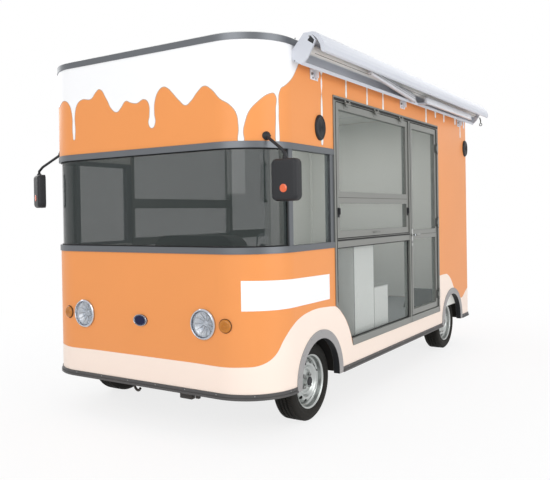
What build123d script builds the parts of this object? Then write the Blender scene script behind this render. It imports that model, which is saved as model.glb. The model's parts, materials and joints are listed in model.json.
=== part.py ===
from build123d import *
import math
import os

# Electric four-wheeled vending vehicle, a box van with a rounded nose and a service side.
# Lengths are millimetres. Z is up, the ground is Z 0, the nose faces -Y and the
# vehicle's left side, where it serves, is +X. The origin is on the ground, mid-way
# between the two sides and the two ends.

# Body envelope
BODY_WIDTH = 1900
BODY_LENGTH = 3880
FRONT_RADIUS = 330
REAR_RADIUS = 60
WALL = 40
SEAM = 0.3
SIDE = BODY_WIDTH / 2
NOSE = -BODY_LENGTH / 2
TAIL = BODY_LENGTH / 2
BEYOND = 2 * BODY_LENGTH

# Wheels
RIM_RADIUS = 174
RIM_FLANGE = 9
RIM_WELL = 15
RIM_SHEET = 5
RIM_HALF_WIDTH = 68
BEAD_RADIUS = RIM_RADIUS - RIM_FLANGE
BARREL_RADIUS = BEAD_RADIUS - RIM_WELL
TYRE_HEIGHT = 78
TYRE_WIDTH = 155
TYRE_SIDES = 48
TYRE_RADIUS = RIM_RADIUS + TYRE_HEIGHT
DISC_OFFSET = 34
DISC_DISH = 10
HUB_RADIUS = 32
HUB_LENGTH = 62
VENT_COUNT = 16
VENT_RADIUS = 9
VENT_CIRCLE = BARREL_RADIUS - 23
LUG_COUNT = 4
LUG_RADIUS = 9
LUG_LENGTH = 16
LUG_CIRCLE = HUB_RADIUS + 2 * LUG_RADIUS
WHEEL_Z = TYRE_RADIUS
WHEEL_INSET = 143
WHEEL_X = SIDE - WHEEL_INSET
FRONT_OVERHANG = 640
REAR_OVERHANG = 560
FRONT_AXLE_Y = NOSE + FRONT_OVERHANG
REAR_AXLE_Y = TAIL - REAR_OVERHANG

# Levels, from the wheels up to the roof
AXLE_TO_FLOOR = 139
FLOOR_THICKNESS = 20
FLOOR_LOW = WHEEL_Z + AXLE_TO_FLOOR
FLOOR_TOP = FLOOR_LOW + FLOOR_THICKNESS
SILL_LOW = WHEEL_Z + 4
SILL_TRIM_HEIGHT = 35
SILL_LIP_HEIGHT = 14
TRIM_PROUD = 6
BELT_RISE = 699
BELT_LOW = FLOOR_TOP + BELT_RISE
BELT_HEIGHT = 39
BELT_HIGH = BELT_LOW + BELT_HEIGHT
CABIN_HEIGHT = 1950
ROOF_LOW = FLOOR_TOP + CABIN_HEIGHT
ROOF_TRIM_HEIGHT = 39
ROOF_TRIM_DEPTH = 12
ROOF_CROWN = 12
BROW_DROP = 630
BROW_LOW = ROOF_LOW - BROW_DROP
BROW_HEIGHT = 39
BROW_HIGH = BROW_LOW + BROW_HEIGHT

# Glazed side frames
FRAME_SETBACK = 863
FRAME_TO_TAIL = 932
FRAME_DROP = 228
FRAME_FRONT = NOSE + FRAME_SETBACK
FRAME_REAR = TAIL - FRAME_TO_TAIL
FRAME_LOW = FLOOR_TOP
FRAME_HIGH = ROOF_LOW - FRAME_DROP
FRAME_BAR = 34
FRAME_FOOT = 50
FRAME_DEPTH = 52
FRAME_FACE = SIDE + TRIM_PROUD
FRAME_BACK = FRAME_FACE - FRAME_DEPTH
DOOR_BAY = 717
MULLION_Y = FRAME_REAR - DOOR_BAY
MULLION_WIDTH = 40
TRANSOM_HEIGHT = 59
TRANSOM_LOW = BELT_LOW - 4
TRANSOM_HIGH = TRANSOM_LOW + TRANSOM_HEIGHT
SASH_BAR = 46
SASH_DEPTH = 36
MOVING_GAP = 6
HATCH_RAIL_RISE = 243
HATCH_RAIL_HEIGHT = 79
HATCH_RAIL_LOW = TRANSOM_HIGH + HATCH_RAIL_RISE
HATCH_RAIL_HIGH = HATCH_RAIL_LOW + HATCH_RAIL_HEIGHT
DOOR_RAIL_HEIGHT = 78
DOOR_RAIL_LOW = BELT_LOW - 2
DOOR_RAIL_HIGH = DOOR_RAIL_LOW + DOOR_RAIL_HEIGHT
GLASS = 6
GLASS_SETBACK = 15
PILLAR_Y = NOSE + FRONT_RADIUS - 20
PILLAR_WIDTH = 40
JAMB_WIDTH = 50

# Hinges of the door and the service hatch
HINGE_RADIUS = 8
HINGE_PIN_RADIUS = 4
HINGE_HALF = 20
HINGE_LEAF = 20
HINGE_RUN = 0.3
HINGE_END_GAP = 2
DOOR_HINGE_HEIGHTS = (FRAME_LOW + 169, FRAME_HIGH - 893, FRAME_HIGH - 213)
HATCH_HINGE_INSET = 160
HANDLE_Z = (DOOR_RAIL_LOW + DOOR_RAIL_HIGH) / 2
HANDLE_LENGTH = 90
HANDLE_REACH = 42
HANDLE_RADIUS = 8
HANDLE_NECK_RADIUS = 6

# Wheel arches and housings
FRONT_ARCH_Y = FRONT_AXLE_Y + 9
REAR_ARCH_Y = REAR_AXLE_Y + 5
ARCH_Z = WHEEL_Z + 33
ARCH_RADIUS = TYRE_RADIUS + 4
ARCH_TRIM_WIDTH = 50
ARCH_LIP = 6
HILL_WIDTH = 229
HILL_RADIUS = ARCH_RADIUS + HILL_WIDTH
HILL_END = FRONT_ARCH_Y + math.sqrt(HILL_RADIUS**2 - (FRAME_LOW - ARCH_Z) ** 2)
HOUSING_CLEARANCE = 58
HOUSING_RADIUS = TYRE_RADIUS + HOUSING_CLEARANCE
HOUSING_SHEET = 8
HOUSING_OUTER = HOUSING_RADIUS + HOUSING_SHEET

# Chassis and springs
RAIL_INSET = 530
RAIL_X = SIDE - RAIL_INSET
RAIL_WIDTH = 60
RAIL_HEIGHT = 70
RAIL_FRONT = NOSE + 140
RAIL_REAR = TAIL - 100
RAIL_INNER = RAIL_X - RAIL_WIDTH / 2
RAIL_OUTER = RAIL_X + RAIL_WIDTH / 2
CROSS_WIDTH = 50
CROSS_PLACES = (RAIL_FRONT + 50, FRONT_AXLE_Y + 350, REAR_AXLE_Y - 530, RAIL_REAR - 90)
OUTRIGGER_COUNT = 4
OUTRIGGER_FRONT = FRONT_AXLE_Y + 420
OUTRIGGER_REAR = REAR_AXLE_Y - 480
SPRING_X = RAIL_X + 100
SPRING_WIDTH = 50
SPRING_THICKNESS = 24
SPRING_SEAT_Z = WHEEL_Z + 40
SPRING_HALF_LENGTH = 340
SPRING_RISE = 45
HOUSING_INNER_X = SPRING_X + SPRING_WIDTH / 2 + 10
TOW_EYE_BORE = 15
TOW_EYE_SHEET = 14
TOW_EYE_LENGTH = 52
TOW_EYE_Z = FLOOR_LOW - 129
BATTERY_CLEARANCE = 5
BATTERY_FRONT = NOSE + 1160
BATTERY_REAR = REAR_AXLE_Y - 1180
BATTERY_HEIGHT = 140

# Axles and steering
SPINDLE_RADIUS = 20
KINGPIN_X = WHEEL_X - 67
KINGPIN_RADIUS = 11
EYE_RADIUS = 30
BEAM_HALF = 25
LUG_GAP = 6
KNUCKLE_SHEET = 16
KNUCKLE_REACH = 38
KNUCKLE_HALF_WIDTH = 30
STEERING_ARM = 110
ARM_WIDTH = 26
BALL_RADIUS = 8
TIE_ROD_RADIUS = 10
TIE_ROD_EYE = 16
TIE_ROD_EYE_HEIGHT = 24
PIN_RUN = 0.3
REAR_TUBE_RADIUS = 35
MOTOR_RADIUS = 112
MOTOR_LENGTH = 300

# Nose
LAMP_X = SIDE - 440
LAMP_Z = SILL_LOW + 434
LAMP_RADIUS = 93
LENS_RADIUS = 82
LENS_THICKNESS = 3
BEZEL_SHEET = 4
LAMP_PROUD = 16
LAMP_POCKET = 32
INDICATOR_X = SIDE - 280
INDICATOR_RADIUS = 40
INDICATOR_PROUD = 16
BADGE_HALF_WIDTH = 58
BADGE_HALF_HEIGHT = 37
BADGE_Z = LAMP_Z - 11
BADGE_PROUD = 8

# Rear lamps
TAIL_X = SIDE - 170
TAIL_RADIUS = 45
TAIL_PROUD = 16
TAIL_HEIGHTS = (SILL_LOW + 504, SILL_LOW + 624)

# Speakers on the service side: Y, Z and radius of each
SPEAKER_PROUD = 22
SPEAKER_PLACES = (
    (FRONT_AXLE_Y + 38, ROOF_LOW - 466, 90),
    (TAIL - 90, ROOF_LOW - 376, 82),
)

# Mirrors
MIRROR_X = SIDE + 107
MIRROR_Y = NOSE + 77
MIRROR_Z = BROW_LOW - 196
MIRROR_WIDTH = 176
MIRROR_HEIGHT = 242
MIRROR_DEPTH = 58
MIRROR_CORNER = 40
MIRROR_ARM_RADIUS = 9
MIRROR_ARM_BEND = 14
MIRROR_ROOT_X = SIDE - 61
MIRROR_ROOT_Z = BROW_HIGH + 30
MIRROR_ELBOW_Z = MIRROR_ROOT_Z - 88
MIRROR_ELBOW_RUN = 30
MIRROR_BALL = 20

# Awning over the service side. Reaches are out from the side, drops are down from its top.
AWNING_DROP = 129
AWNING_HEIGHT = 188
AWNING_LOW = ROOF_LOW - AWNING_DROP
AWNING_TOP = AWNING_LOW + AWNING_HEIGHT
AWNING_FRONT = NOSE + 340
AWNING_REAR = TAIL - 15
AWNING_CAP = 14
AWNING_SHEET = 10
AWNING_HEEL = 38
AWNING_SHOULDER = 95
AWNING_SLOPE = (52, 39)
AWNING_ROOF_REACH = 86
AWNING_LEDGE = 144
AWNING_TRAY_REACH = 68

# Reach past the ledge and drop, for the front edge of the end caps and for the front bar
AWNING_CAP_EDGE = ((0, 18), (24, 52), (6, 84), (-34, 148))
AWNING_BAR_OUTER = ((0, 0), (24, 6), (52, 32), (74, 66), (84, 92), (82, 122), (70, 130))
AWNING_BAR_INNER = ((58, 118), (54, 84), (32, 46), (0, 16))
ARM_HALF = 14
ARM_RISE = 34
ARM_Z = AWNING_LOW + ARM_RISE
ARM_BRACKET = 60
ARM_BRACKET_REACH = 60
ARM_BRACKET_SHEET = 12
AWNING_MIDDLE = (AWNING_FRONT + AWNING_REAR) / 2
ARM_SHOULDERS = ((96, AWNING_MIDDLE - 32), (140, AWNING_MIDDLE + 168))
ARM_ELBOW = (AWNING_LEDGE + 40, AWNING_FRONT + 720, AWNING_TOP - 110)
ARM_REAR_END = AWNING_REAR - 325
ROLLER_RADIUS = 32
ROLLER_REACH = 82
ROLLER_GAP = 26
ROLLER_Z = ARM_Z + ARM_HALF + ROLLER_GAP + ROLLER_RADIUS

# Driver's place
DASH_REAR = NOSE + 280
DASH_HIGH = BELT_LOW - 15
DASH_HEIGHT = 535
BINNACLE_LEFT = SIDE - 290
BINNACLE_WIDTH = 660
BINNACLE_RISE = 120
BINNACLE_DEPTH = 150
SEAT_WIDTH = 440
SEAT_DEPTH = 460
SEAT_FRONT = NOSE + 760
SEAT_X = HOUSING_INNER_X - 5 - SEAT_WIDTH / 2
SEAT_BASE_INSET = 40
SEAT_BASE_HEIGHT = 229
SEAT_BASE_HIGH = FLOOR_TOP + SEAT_BASE_HEIGHT
SEAT_CUSHION = 110
SEAT_CORNER = 30
SEAT_BACK_HEIGHT = 500
SEAT_BACK_THICKNESS = 90
SEAT_BACK_LAP = 60
WHEEL_CENTRE = (SEAT_X, DASH_REAR + 210, DASH_HIGH - 110)
STEERING_RADIUS = 185
STEERING_GRIP = 14
STEERING_TILT = 30
SPOKE_WIDTH = 26
SPOKE_TURNS = (270, 30, 150)
COLUMN_RADIUS = 24
COLUMN_LENGTH = 470

# Cabinets and counter
CABINET_INNER = SIDE - 390
CABINET_OUTER = SIDE - 60
UPRIGHT_FRONT = FRAME_FRONT + 410
UPRIGHT_DEPTH = 349
UPRIGHT_REAR = UPRIGHT_FRONT + UPRIGHT_DEPTH
UPRIGHT_HIGH = TRANSOM_LOW - 6
LOW_CABINET_DEPTH = 268
LOW_CABINET_HEIGHT = 349
COUNTER_INNER = 480 - SIDE
COUNTER_FRONT = NOSE + 1180
COUNTER_REAR = REAR_AXLE_Y + HOUSING_OUTER + 2
COUNTER_HIGH = FLOOR_TOP + 489
COUNTER_TOP = 40
COUNTER_BASE_REAR = REAR_AXLE_Y - HOUSING_OUTER - 62


def block(x, y, z):
    """A box between pairs of X, Y and Z."""
    size = Box(x[1] - x[0], y[1] - y[0], z[1] - z[0])
    return Pos((x[0] + x[1]) / 2, (y[0] + y[1]) / 2, (z[0] + z[1]) / 2) * size


def rod_x(radius, x, y, z):
    """A cylinder along X, between the pair x."""
    return Pos((x[0] + x[1]) / 2, y, z) * Rot(0, 90, 0) * Cylinder(radius, x[1] - x[0])


def rod_z(radius, x, y, z):
    """A cylinder along Z, between the pair z."""
    return Pos(x, y, (z[0] + z[1]) / 2) * Cylinder(radius, z[1] - z[0])


def plan(inset):
    """The body's outline seen from above, drawn in by inset, or out where it is negative."""
    outline = Rectangle(BODY_WIDTH - 2 * inset, BODY_LENGTH - 2 * inset)
    outline = fillet(outline.vertices().group_by(Axis.Y)[0], FRONT_RADIUS - inset)
    return fillet(outline.vertices().group_by(Axis.Y)[-1], REAR_RADIUS - inset)


def prism(face, low, high):
    """A flat outline carried up from low to high."""
    return Pos(0, 0, low) * extrude(face, high - low)


def ring(low, high, outer, inner):
    """The body's wall from low to high, between two insets of its outline."""
    return prism(plan(outer) - plan(inner), low, high)


def stretch(front, rear, low=0, high=BEYOND):
    """All that lies between two Y and, where given, two Z."""
    return block((-BEYOND, BEYOND), (front, rear), (low, high))


def other_side(piece):
    """The same piece on the right side."""
    return mirror(piece, about=Plane.YZ)


def both_sides(piece):
    """A left piece and its mirror image."""
    return [piece, other_side(piece)]


def arch_cut(y, radius):
    """The space of a wheel arch, right through the body."""
    tube = rod_x(radius, (-BODY_WIDTH, BODY_WIDTH), y, ARCH_Z)
    return tube + block((-BODY_WIDTH, BODY_WIDTH), (y - radius, y + radius), (0, ARCH_Z))


def hill(radius):
    """The round shoulder of the nose panel over the front arch."""
    return rod_x(radius, (-BODY_WIDTH, BODY_WIDTH), FRONT_ARCH_Y, ARCH_Z)


def nose_point(x):
    """The Y of the nose's skin at x, and how far it has turned towards the side."""
    past = max(0, abs(x) - (SIDE - FRONT_RADIUS))
    turn = math.asin(past / FRONT_RADIUS)
    return NOSE + FRONT_RADIUS * (1 - math.cos(turn)), math.copysign(math.degrees(turn), x)


def write(name, pieces):
    """Save one node's solids under its name."""
    solids = [solid for piece in pieces for solid in piece.solids()]
    export_step(Compound(solids) if len(solids) > 1 else solids[0], f"parts/{name}.step")


# Body shell


def front_shell_lower():
    """Nose panel below the windscreen, with its shoulders over the front wheels."""
    zone = stretch(-BEYOND, FRAME_FRONT)
    zone += hill(HILL_RADIUS) & stretch(FRAME_FRONT, HILL_END)
    zone += stretch(FRAME_FRONT, HILL_END, 0, FRAME_LOW)
    shell = (ring(SILL_LOW, BELT_LOW, 0, WALL) & zone) - arch_cut(FRONT_ARCH_Y, ARCH_RADIUS)
    for x in (-LAMP_X, LAMP_X):
        pocket = Cylinder(LENS_RADIUS, 2 * LAMP_POCKET)
        shell -= Pos(x, NOSE, LAMP_Z) * Rot(90, 0, 0) * pocket
    return [shell]


def front_shell_upper():
    """Panel round the nose above the windscreen."""
    return [ring(BROW_HIGH, ROOF_LOW, 0, WALL) & stretch(-BEYOND, FRAME_FRONT)]


def side_panels():
    """Skirt, rear quarter and header of each side in one panel round its glazed frame."""
    panel = ring(SILL_LOW, ROOF_LOW, 0, WALL)
    panel &= block((SIDE - REAR_RADIUS, BEYOND), (FRAME_FRONT, BEYOND), (0, BEYOND))
    panel -= stretch(FRAME_FRONT, FRAME_REAR, FRAME_LOW, FRAME_HIGH)
    panel -= stretch(FRAME_FRONT, HILL_END, 0, FRAME_LOW)
    panel -= arch_cut(REAR_ARCH_Y, ARCH_RADIUS)
    return both_sides(panel)


def rear_wall():
    """Flat wall between the rear corners."""
    half = SIDE - REAR_RADIUS
    return [ring(SILL_LOW, ROOF_LOW, 0, WALL) & block((-half, half), (0, BEYOND), (0, BEYOND))]


def roof_panel():
    """Roof slab with a rounded edge, inside its trim."""
    slab = prism(plan(ROOF_TRIM_DEPTH), ROOF_LOW, ROOF_LOW + ROOF_TRIM_HEIGHT + ROOF_CROWN)
    return [fillet(slab.edges().group_by(Axis.Z)[-1], ROOF_CROWN - 1)]


def roof_trim():
    """Metal band round the roof's edge."""
    return [ring(ROOF_LOW, ROOF_LOW + ROOF_TRIM_HEIGHT, -TRIM_PROUD, ROOF_TRIM_DEPTH)]


def sill_trim():
    """Metal band along the foot of the body, broken by the arches."""
    band = ring(SILL_LOW, SILL_LOW + SILL_TRIM_HEIGHT, -TRIM_PROUD, 0)
    band += ring(SILL_LOW, SILL_LOW + SILL_LIP_HEIGHT, -2 * TRIM_PROUD, 0)
    reach = ARCH_RADIUS - ARCH_LIP + ARCH_TRIM_WIDTH + ARCH_LIP
    for y in (FRONT_ARCH_Y, REAR_ARCH_Y):
        band -= stretch(y - reach, y + reach)
    return [band]


def arch_trims():
    """Flanged bands round the four wheel arches."""
    pieces = []
    for y in (FRONT_ARCH_Y, REAR_ARCH_Y):
        lip = arch_cut(y, ARCH_RADIUS - SEAM) - arch_cut(y, ARCH_RADIUS - ARCH_LIP)
        lip &= block((SIDE - WALL, FRAME_FACE), (-BEYOND, BEYOND), (SILL_LOW, BEYOND))
        band = arch_cut(y, ARCH_RADIUS + ARCH_TRIM_WIDTH) - arch_cut(y, ARCH_RADIUS - ARCH_LIP)
        band &= block((SIDE, FRAME_FACE), (-BEYOND, BEYOND), (SILL_LOW, BEYOND))
        pieces += both_sides(lip + band)
    return pieces


def screen_frame():
    """Rails under and over the nose's glass, with the posts and jambs between them."""
    nose = stretch(-BEYOND, FRAME_FRONT)
    frame = ring(BELT_LOW, BELT_HIGH, -TRIM_PROUD, WALL) & nose
    frame += ring(BROW_LOW, BROW_HIGH, -TRIM_PROUD, WALL) & nose
    posts = ring(BELT_HIGH, BROW_LOW, 0, WALL)
    half = PILLAR_WIDTH / 2
    for front, rear in ((PILLAR_Y - half, PILLAR_Y + half), (FRAME_FRONT - JAMB_WIDTH, FRAME_FRONT)):
        frame += posts & stretch(front, rear)
    return [frame]


def windscreen():
    """One bent pane across the nose and round both corners."""
    pane = ring(BELT_HIGH, BROW_LOW, GLASS_SETBACK, GLASS_SETBACK + GLASS)
    return [pane & stretch(-BEYOND, PILLAR_Y - PILLAR_WIDTH / 2)]


# Glazed frames, door and hatch


def bars(face, back, rows):
    """Frame bars between two X, one for each row of Y from, Y to, Z from and Z to."""
    frame = None
    for front, rear, low, high in rows:
        bar = block((back, face), (front, rear), (low, high))
        frame = bar if frame is None else frame + bar
    return frame


def outer_frame_rows():
    """The bars that both side frames have."""
    half = MULLION_WIDTH / 2
    return [
        (FRAME_FRONT, FRAME_FRONT + FRAME_BAR, FRAME_LOW, FRAME_HIGH),
        (FRAME_REAR - FRAME_BAR, FRAME_REAR, FRAME_LOW, FRAME_HIGH),
        (FRAME_FRONT, FRAME_REAR, FRAME_HIGH - FRAME_BAR, FRAME_HIGH),
        (FRAME_FRONT, FRAME_REAR, FRAME_LOW, FRAME_LOW + FRAME_FOOT),
        (MULLION_Y - half, MULLION_Y + half, FRAME_LOW, FRAME_HIGH),
        (FRAME_FRONT, MULLION_Y, TRANSOM_LOW, TRANSOM_HIGH),
    ]


def hinge(pin_place):
    """The moving knuckle with its leaf, and the fixed knuckles with their pin and leaves.

    The pin is along the place's Z, the body's outside is its +X, the moving leaf is on
    its -Y side and the fixed leaves are on its +Y side.
    """
    proud = FRAME_FACE - SIDE
    knuckle = Cylinder(HINGE_RADIUS, 2 * HINGE_HALF)
    leaf = block((-HINGE_RADIUS - proud, 0), (-HINGE_LEAF, 0), (-HINGE_HALF, HINGE_HALF))
    bore = Cylinder(HINGE_PIN_RADIUS + HINGE_RUN, 3 * HINGE_HALF)
    moving = pin_place * (knuckle + leaf - bore)
    start = HINGE_HALF + HINGE_END_GAP
    stop = start + HINGE_HALF
    fixed = Cylinder(HINGE_PIN_RADIUS, 2 * stop)
    for low, high in ((-stop, -start), (start, stop)):
        fixed += rod_z(HINGE_RADIUS, 0, 0, (low, high))
        fixed += block((-HINGE_RADIUS, 0), (0, HINGE_LEAF), (low, high))
    return moving, pin_place * fixed


def door_hinges():
    """Three hinges up the door's rear edge."""
    y = FRAME_REAR - FRAME_BAR - MOVING_GAP / 2
    return [hinge(Pos(FRAME_FACE + HINGE_RADIUS, y, z)) for z in DOOR_HINGE_HEIGHTS]


def hatch_hinges():
    """Three hinges along the hatch's top edge."""
    front, rear = hatch_span()
    z = FRAME_HIGH - FRAME_BAR - MOVING_GAP / 2
    places = (front + HATCH_HINGE_INSET, (front + rear) / 2, rear - HATCH_HINGE_INSET)
    found = []
    for y in places:
        pin = Plane((FRAME_FACE + HINGE_RADIUS, y, z), x_dir=(1, 0, 0), z_dir=(0, -1, 0))
        found.append(hinge(pin.location))
    return found


def hatch_span():
    """The Y of the hatch's two upright edges."""
    front = FRAME_FRONT + FRAME_BAR + MOVING_GAP
    return front, MULLION_Y - MULLION_WIDTH / 2 - MOVING_GAP


def door_span():
    """The Y of the door's two upright edges."""
    front = MULLION_Y + MULLION_WIDTH / 2 + MOVING_GAP
    return front, FRAME_REAR - FRAME_BAR - MOVING_GAP


def sash(span, low, high, rail_low, rail_high):
    """A leaf's frame with one rail across, and its two panes."""
    front, rear = span
    rows = [
        (front, front + SASH_BAR, low, high),
        (rear - SASH_BAR, rear, low, high),
        (front, rear, low, low + SASH_BAR),
        (front, rear, high - SASH_BAR, high),
        (front, rear, rail_low, rail_high),
    ]
    frame = bars(SIDE, SIDE - SASH_DEPTH, rows)
    inside = (front + SASH_BAR, rear - SASH_BAR)
    panes = [
        pane(inside, (low + SASH_BAR, rail_low)),
        pane(inside, (rail_high, high - SASH_BAR)),
    ]
    return frame, panes


def pane(y, z):
    """A flat pane of glass in the left side."""
    face = SIDE - GLASS_SETBACK
    return block((face - GLASS, face), y, z)


def side_frame_left():
    """Frame of the service side, open where the hatch and the door fit."""
    frame = bars(FRAME_FACE, FRAME_BACK, outer_frame_rows()) - hill(HILL_RADIUS + SEAM)
    for _, fixed in door_hinges() + hatch_hinges():
        frame += fixed
    return [frame]


def side_frame_right():
    """Frame of the far side, with rails across its fixed panes."""
    rows = outer_frame_rows()
    rows.append((FRAME_FRONT, MULLION_Y, HATCH_RAIL_LOW, HATCH_RAIL_HIGH))
    rows.append((MULLION_Y, FRAME_REAR, DOOR_RAIL_LOW, DOOR_RAIL_HIGH))
    frame = bars(FRAME_FACE, FRAME_BACK, rows) - hill(HILL_RADIUS + SEAM)
    return [other_side(frame)]


def fixed_glass():
    """Quarter lights, the pane under the hatch, and the panes of the far side."""
    head = FRAME_HIGH - FRAME_BAR
    foot = FRAME_LOW + FRAME_FOOT
    bay = (FRAME_FRONT + FRAME_BAR, MULLION_Y - MULLION_WIDTH / 2)
    rear_bay = (MULLION_Y + MULLION_WIDTH / 2, FRAME_REAR - FRAME_BAR)
    quarter = pane((PILLAR_Y + PILLAR_WIDTH / 2, FRAME_FRONT - JAMB_WIDTH), (BELT_HIGH, BROW_LOW))
    under = pane(bay, (foot, TRANSOM_LOW)) - hill(HILL_RADIUS + SEAM)
    pieces = both_sides(quarter) + both_sides(under)
    far_side = (
        (bay, (TRANSOM_HIGH, HATCH_RAIL_LOW)),
        (bay, (HATCH_RAIL_HIGH, head)),
        (rear_bay, (foot, DOOR_RAIL_LOW)),
        (rear_bay, (DOOR_RAIL_HIGH, head)),
    )
    return pieces + [other_side(pane(y, z)) for y, z in far_side]


def hatch():
    """The service hatch's frame and panes."""
    high = FRAME_HIGH - FRAME_BAR - MOVING_GAP
    low = TRANSOM_HIGH + MOVING_GAP
    frame, panes = sash(hatch_span(), low, high, HATCH_RAIL_LOW, HATCH_RAIL_HIGH)
    for moving, _ in hatch_hinges():
        frame += moving
    return [frame], panes


def door():
    """The entry door's frame with its lever handle, and its panes."""
    high = FRAME_HIGH - FRAME_BAR - MOVING_GAP
    low = FRAME_LOW + FRAME_FOOT + MOVING_GAP
    frame, panes = sash(door_span(), low, high, DOOR_RAIL_LOW, DOOR_RAIL_HIGH)
    for moving, _ in door_hinges():
        frame += moving
    front = door_span()[0]
    neck_y = front + SASH_BAR / 2
    reach = (SIDE - 1, SIDE + HANDLE_REACH)
    frame += rod_x(HANDLE_NECK_RADIUS, reach, neck_y, HANDLE_Z)
    lever = Rot(90, 0, 0) * Cylinder(HANDLE_RADIUS, HANDLE_LENGTH)
    frame += Pos(SIDE + HANDLE_REACH, neck_y + HANDLE_LENGTH / 2 - HANDLE_RADIUS, HANDLE_Z) * lever
    return [frame], panes


# Underneath


def wheel_housings():
    """Pressed boxes over the four wheels."""
    pieces = []
    for y in (FRONT_AXLE_Y, REAR_AXLE_Y):
        x = (HOUSING_INNER_X, SIDE - WALL - SEAM)
        shell = rod_x(HOUSING_OUTER, x, y, WHEEL_Z) - rod_x(HOUSING_RADIUS, x, y, WHEEL_Z)
        shell &= stretch(-BEYOND, BEYOND, SILL_LOW)
        end = rod_x(HOUSING_OUTER, (x[0], x[0] + HOUSING_SHEET), y, WHEEL_Z)
        end &= stretch(-BEYOND, BEYOND, FLOOR_LOW)
        pieces += both_sides(shell + end)
    return pieces


def floor_deck():
    """Flat deck, cut away round the wheel housings."""
    deck = prism(plan(WALL), FLOOR_LOW, FLOOR_TOP)
    radius = HOUSING_OUTER + SEAM
    for y in (FRONT_AXLE_Y, REAR_AXLE_Y):
        for hole in both_sides(rod_x(radius, (HOUSING_INNER_X - SEAM, SIDE), y, WHEEL_Z)):
            deck -= hole
    return [deck]


def chassis_rails():
    """The two long rails of the ladder frame."""
    z = (FLOOR_LOW - RAIL_HEIGHT, FLOOR_LOW)
    return both_sides(block((RAIL_INNER, RAIL_OUTER), (RAIL_FRONT, RAIL_REAR), z))


def chassis_members():
    """Cross members between the rails, outriggers to the sills and spring hangers."""
    half = CROSS_WIDTH / 2
    z = (FLOOR_LOW - RAIL_HEIGHT, FLOOR_LOW)
    members = [block((-RAIL_INNER, RAIL_INNER), (y - half, y + half), z) for y in CROSS_PLACES]
    step = (OUTRIGGER_REAR - OUTRIGGER_FRONT) / (OUTRIGGER_COUNT - 1)
    for place in range(OUTRIGGER_COUNT):
        y = OUTRIGGER_FRONT + place * step
        members += both_sides(block((RAIL_OUTER, SIDE - WALL), (y - half, y + half), z))
    inner_radius = spring_radius() - SPRING_THICKNESS
    drop = math.sqrt(inner_radius**2 - SPRING_HALF_LENGTH**2)
    spring_top = SPRING_SEAT_Z + spring_radius() - drop + SEAM
    x = (RAIL_OUTER, SPRING_X + SPRING_WIDTH / 2)
    for axle in (FRONT_AXLE_Y, REAR_AXLE_Y):
        for y in (axle - SPRING_HALF_LENGTH, axle + SPRING_HALF_LENGTH):
            members += both_sides(block(x, (y - half, y + half), (spring_top, FLOOR_LOW)))
    return members


def tow_eyes():
    """One eye at the left rail's front end and one at the right rail's rear end."""
    reach = TOW_EYE_LENGTH / 2
    return [tow_eye(RAIL_X, RAIL_FRONT - reach), tow_eye(-RAIL_X, RAIL_REAR + reach)]


def tow_eye(x, y):
    """An upright plate at a rail's end, with a hole for a shackle."""
    half = TOW_EYE_LENGTH / 2
    span = (x - TOW_EYE_SHEET / 2, x + TOW_EYE_SHEET / 2)
    plate = rod_x(half, span, y, TOW_EYE_Z)
    plate += block(span, (y - half, y + half), (TOW_EYE_Z, FLOOR_LOW))
    return plate - rod_x(TOW_EYE_BORE, span, y, TOW_EYE_Z)


def spring_radius():
    """The bend of a spring that rises to its hangers at both ends."""
    return (SPRING_HALF_LENGTH**2 + SPRING_RISE**2) / (2 * SPRING_RISE)


def leaf_springs():
    """Four leaf springs, each bent up to its hangers at both ends."""
    radius = spring_radius()
    x = (SPRING_X - SPRING_WIDTH / 2, SPRING_X + SPRING_WIDTH / 2)
    pieces = []
    for y in (FRONT_AXLE_Y, REAR_AXLE_Y):
        centre = SPRING_SEAT_Z + radius
        leaf = rod_x(radius, x, y, centre) - rod_x(radius - SPRING_THICKNESS, x, y, centre)
        leaf &= stretch(y - SPRING_HALF_LENGTH, y + SPRING_HALF_LENGTH, 0, FLOOR_LOW)
        pieces += both_sides(leaf)
    return pieces


def battery_box():
    """Traction battery, one plain block under the deck."""
    half = RAIL_INNER - BATTERY_CLEARANCE
    z = (FLOOR_LOW - BATTERY_HEIGHT, FLOOR_LOW)
    return [block((-half, half), (BATTERY_FRONT, BATTERY_REAR), z)]


def spring_pad(y, half_width):
    """The pad on an axle that a spring sits on."""
    x = (SPRING_X - SPRING_WIDTH / 2, SPRING_X + SPRING_WIDTH / 2)
    return block(x, (y - half_width, y + half_width), (WHEEL_Z, SPRING_SEAT_Z - SEAM))


def front_axle():
    """Beam between the two kingpin eyes."""
    z = (WHEEL_Z - BEAM_HALF, WHEEL_Z + BEAM_HALF)
    y = (FRONT_AXLE_Y - BEAM_HALF, FRONT_AXLE_Y + BEAM_HALF)
    beam = block((-KINGPIN_X, KINGPIN_X), y, z)
    for piece in both_sides(rod_z(EYE_RADIUS, KINGPIN_X, FRONT_AXLE_Y, z)):
        beam += piece
    for piece in both_sides(spring_pad(FRONT_AXLE_Y, BEAM_HALF)):
        beam += piece
    beyond_eye = block((KINGPIN_X, BODY_WIDTH), y, z)
    beyond_eye -= rod_z(EYE_RADIUS, KINGPIN_X, FRONT_AXLE_Y, z)
    bore = rod_z(KINGPIN_RADIUS + PIN_RUN, KINGPIN_X, FRONT_AXLE_Y, z)
    for piece in both_sides(bore) + both_sides(beyond_eye):
        beam -= piece
    return [beam]


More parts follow.
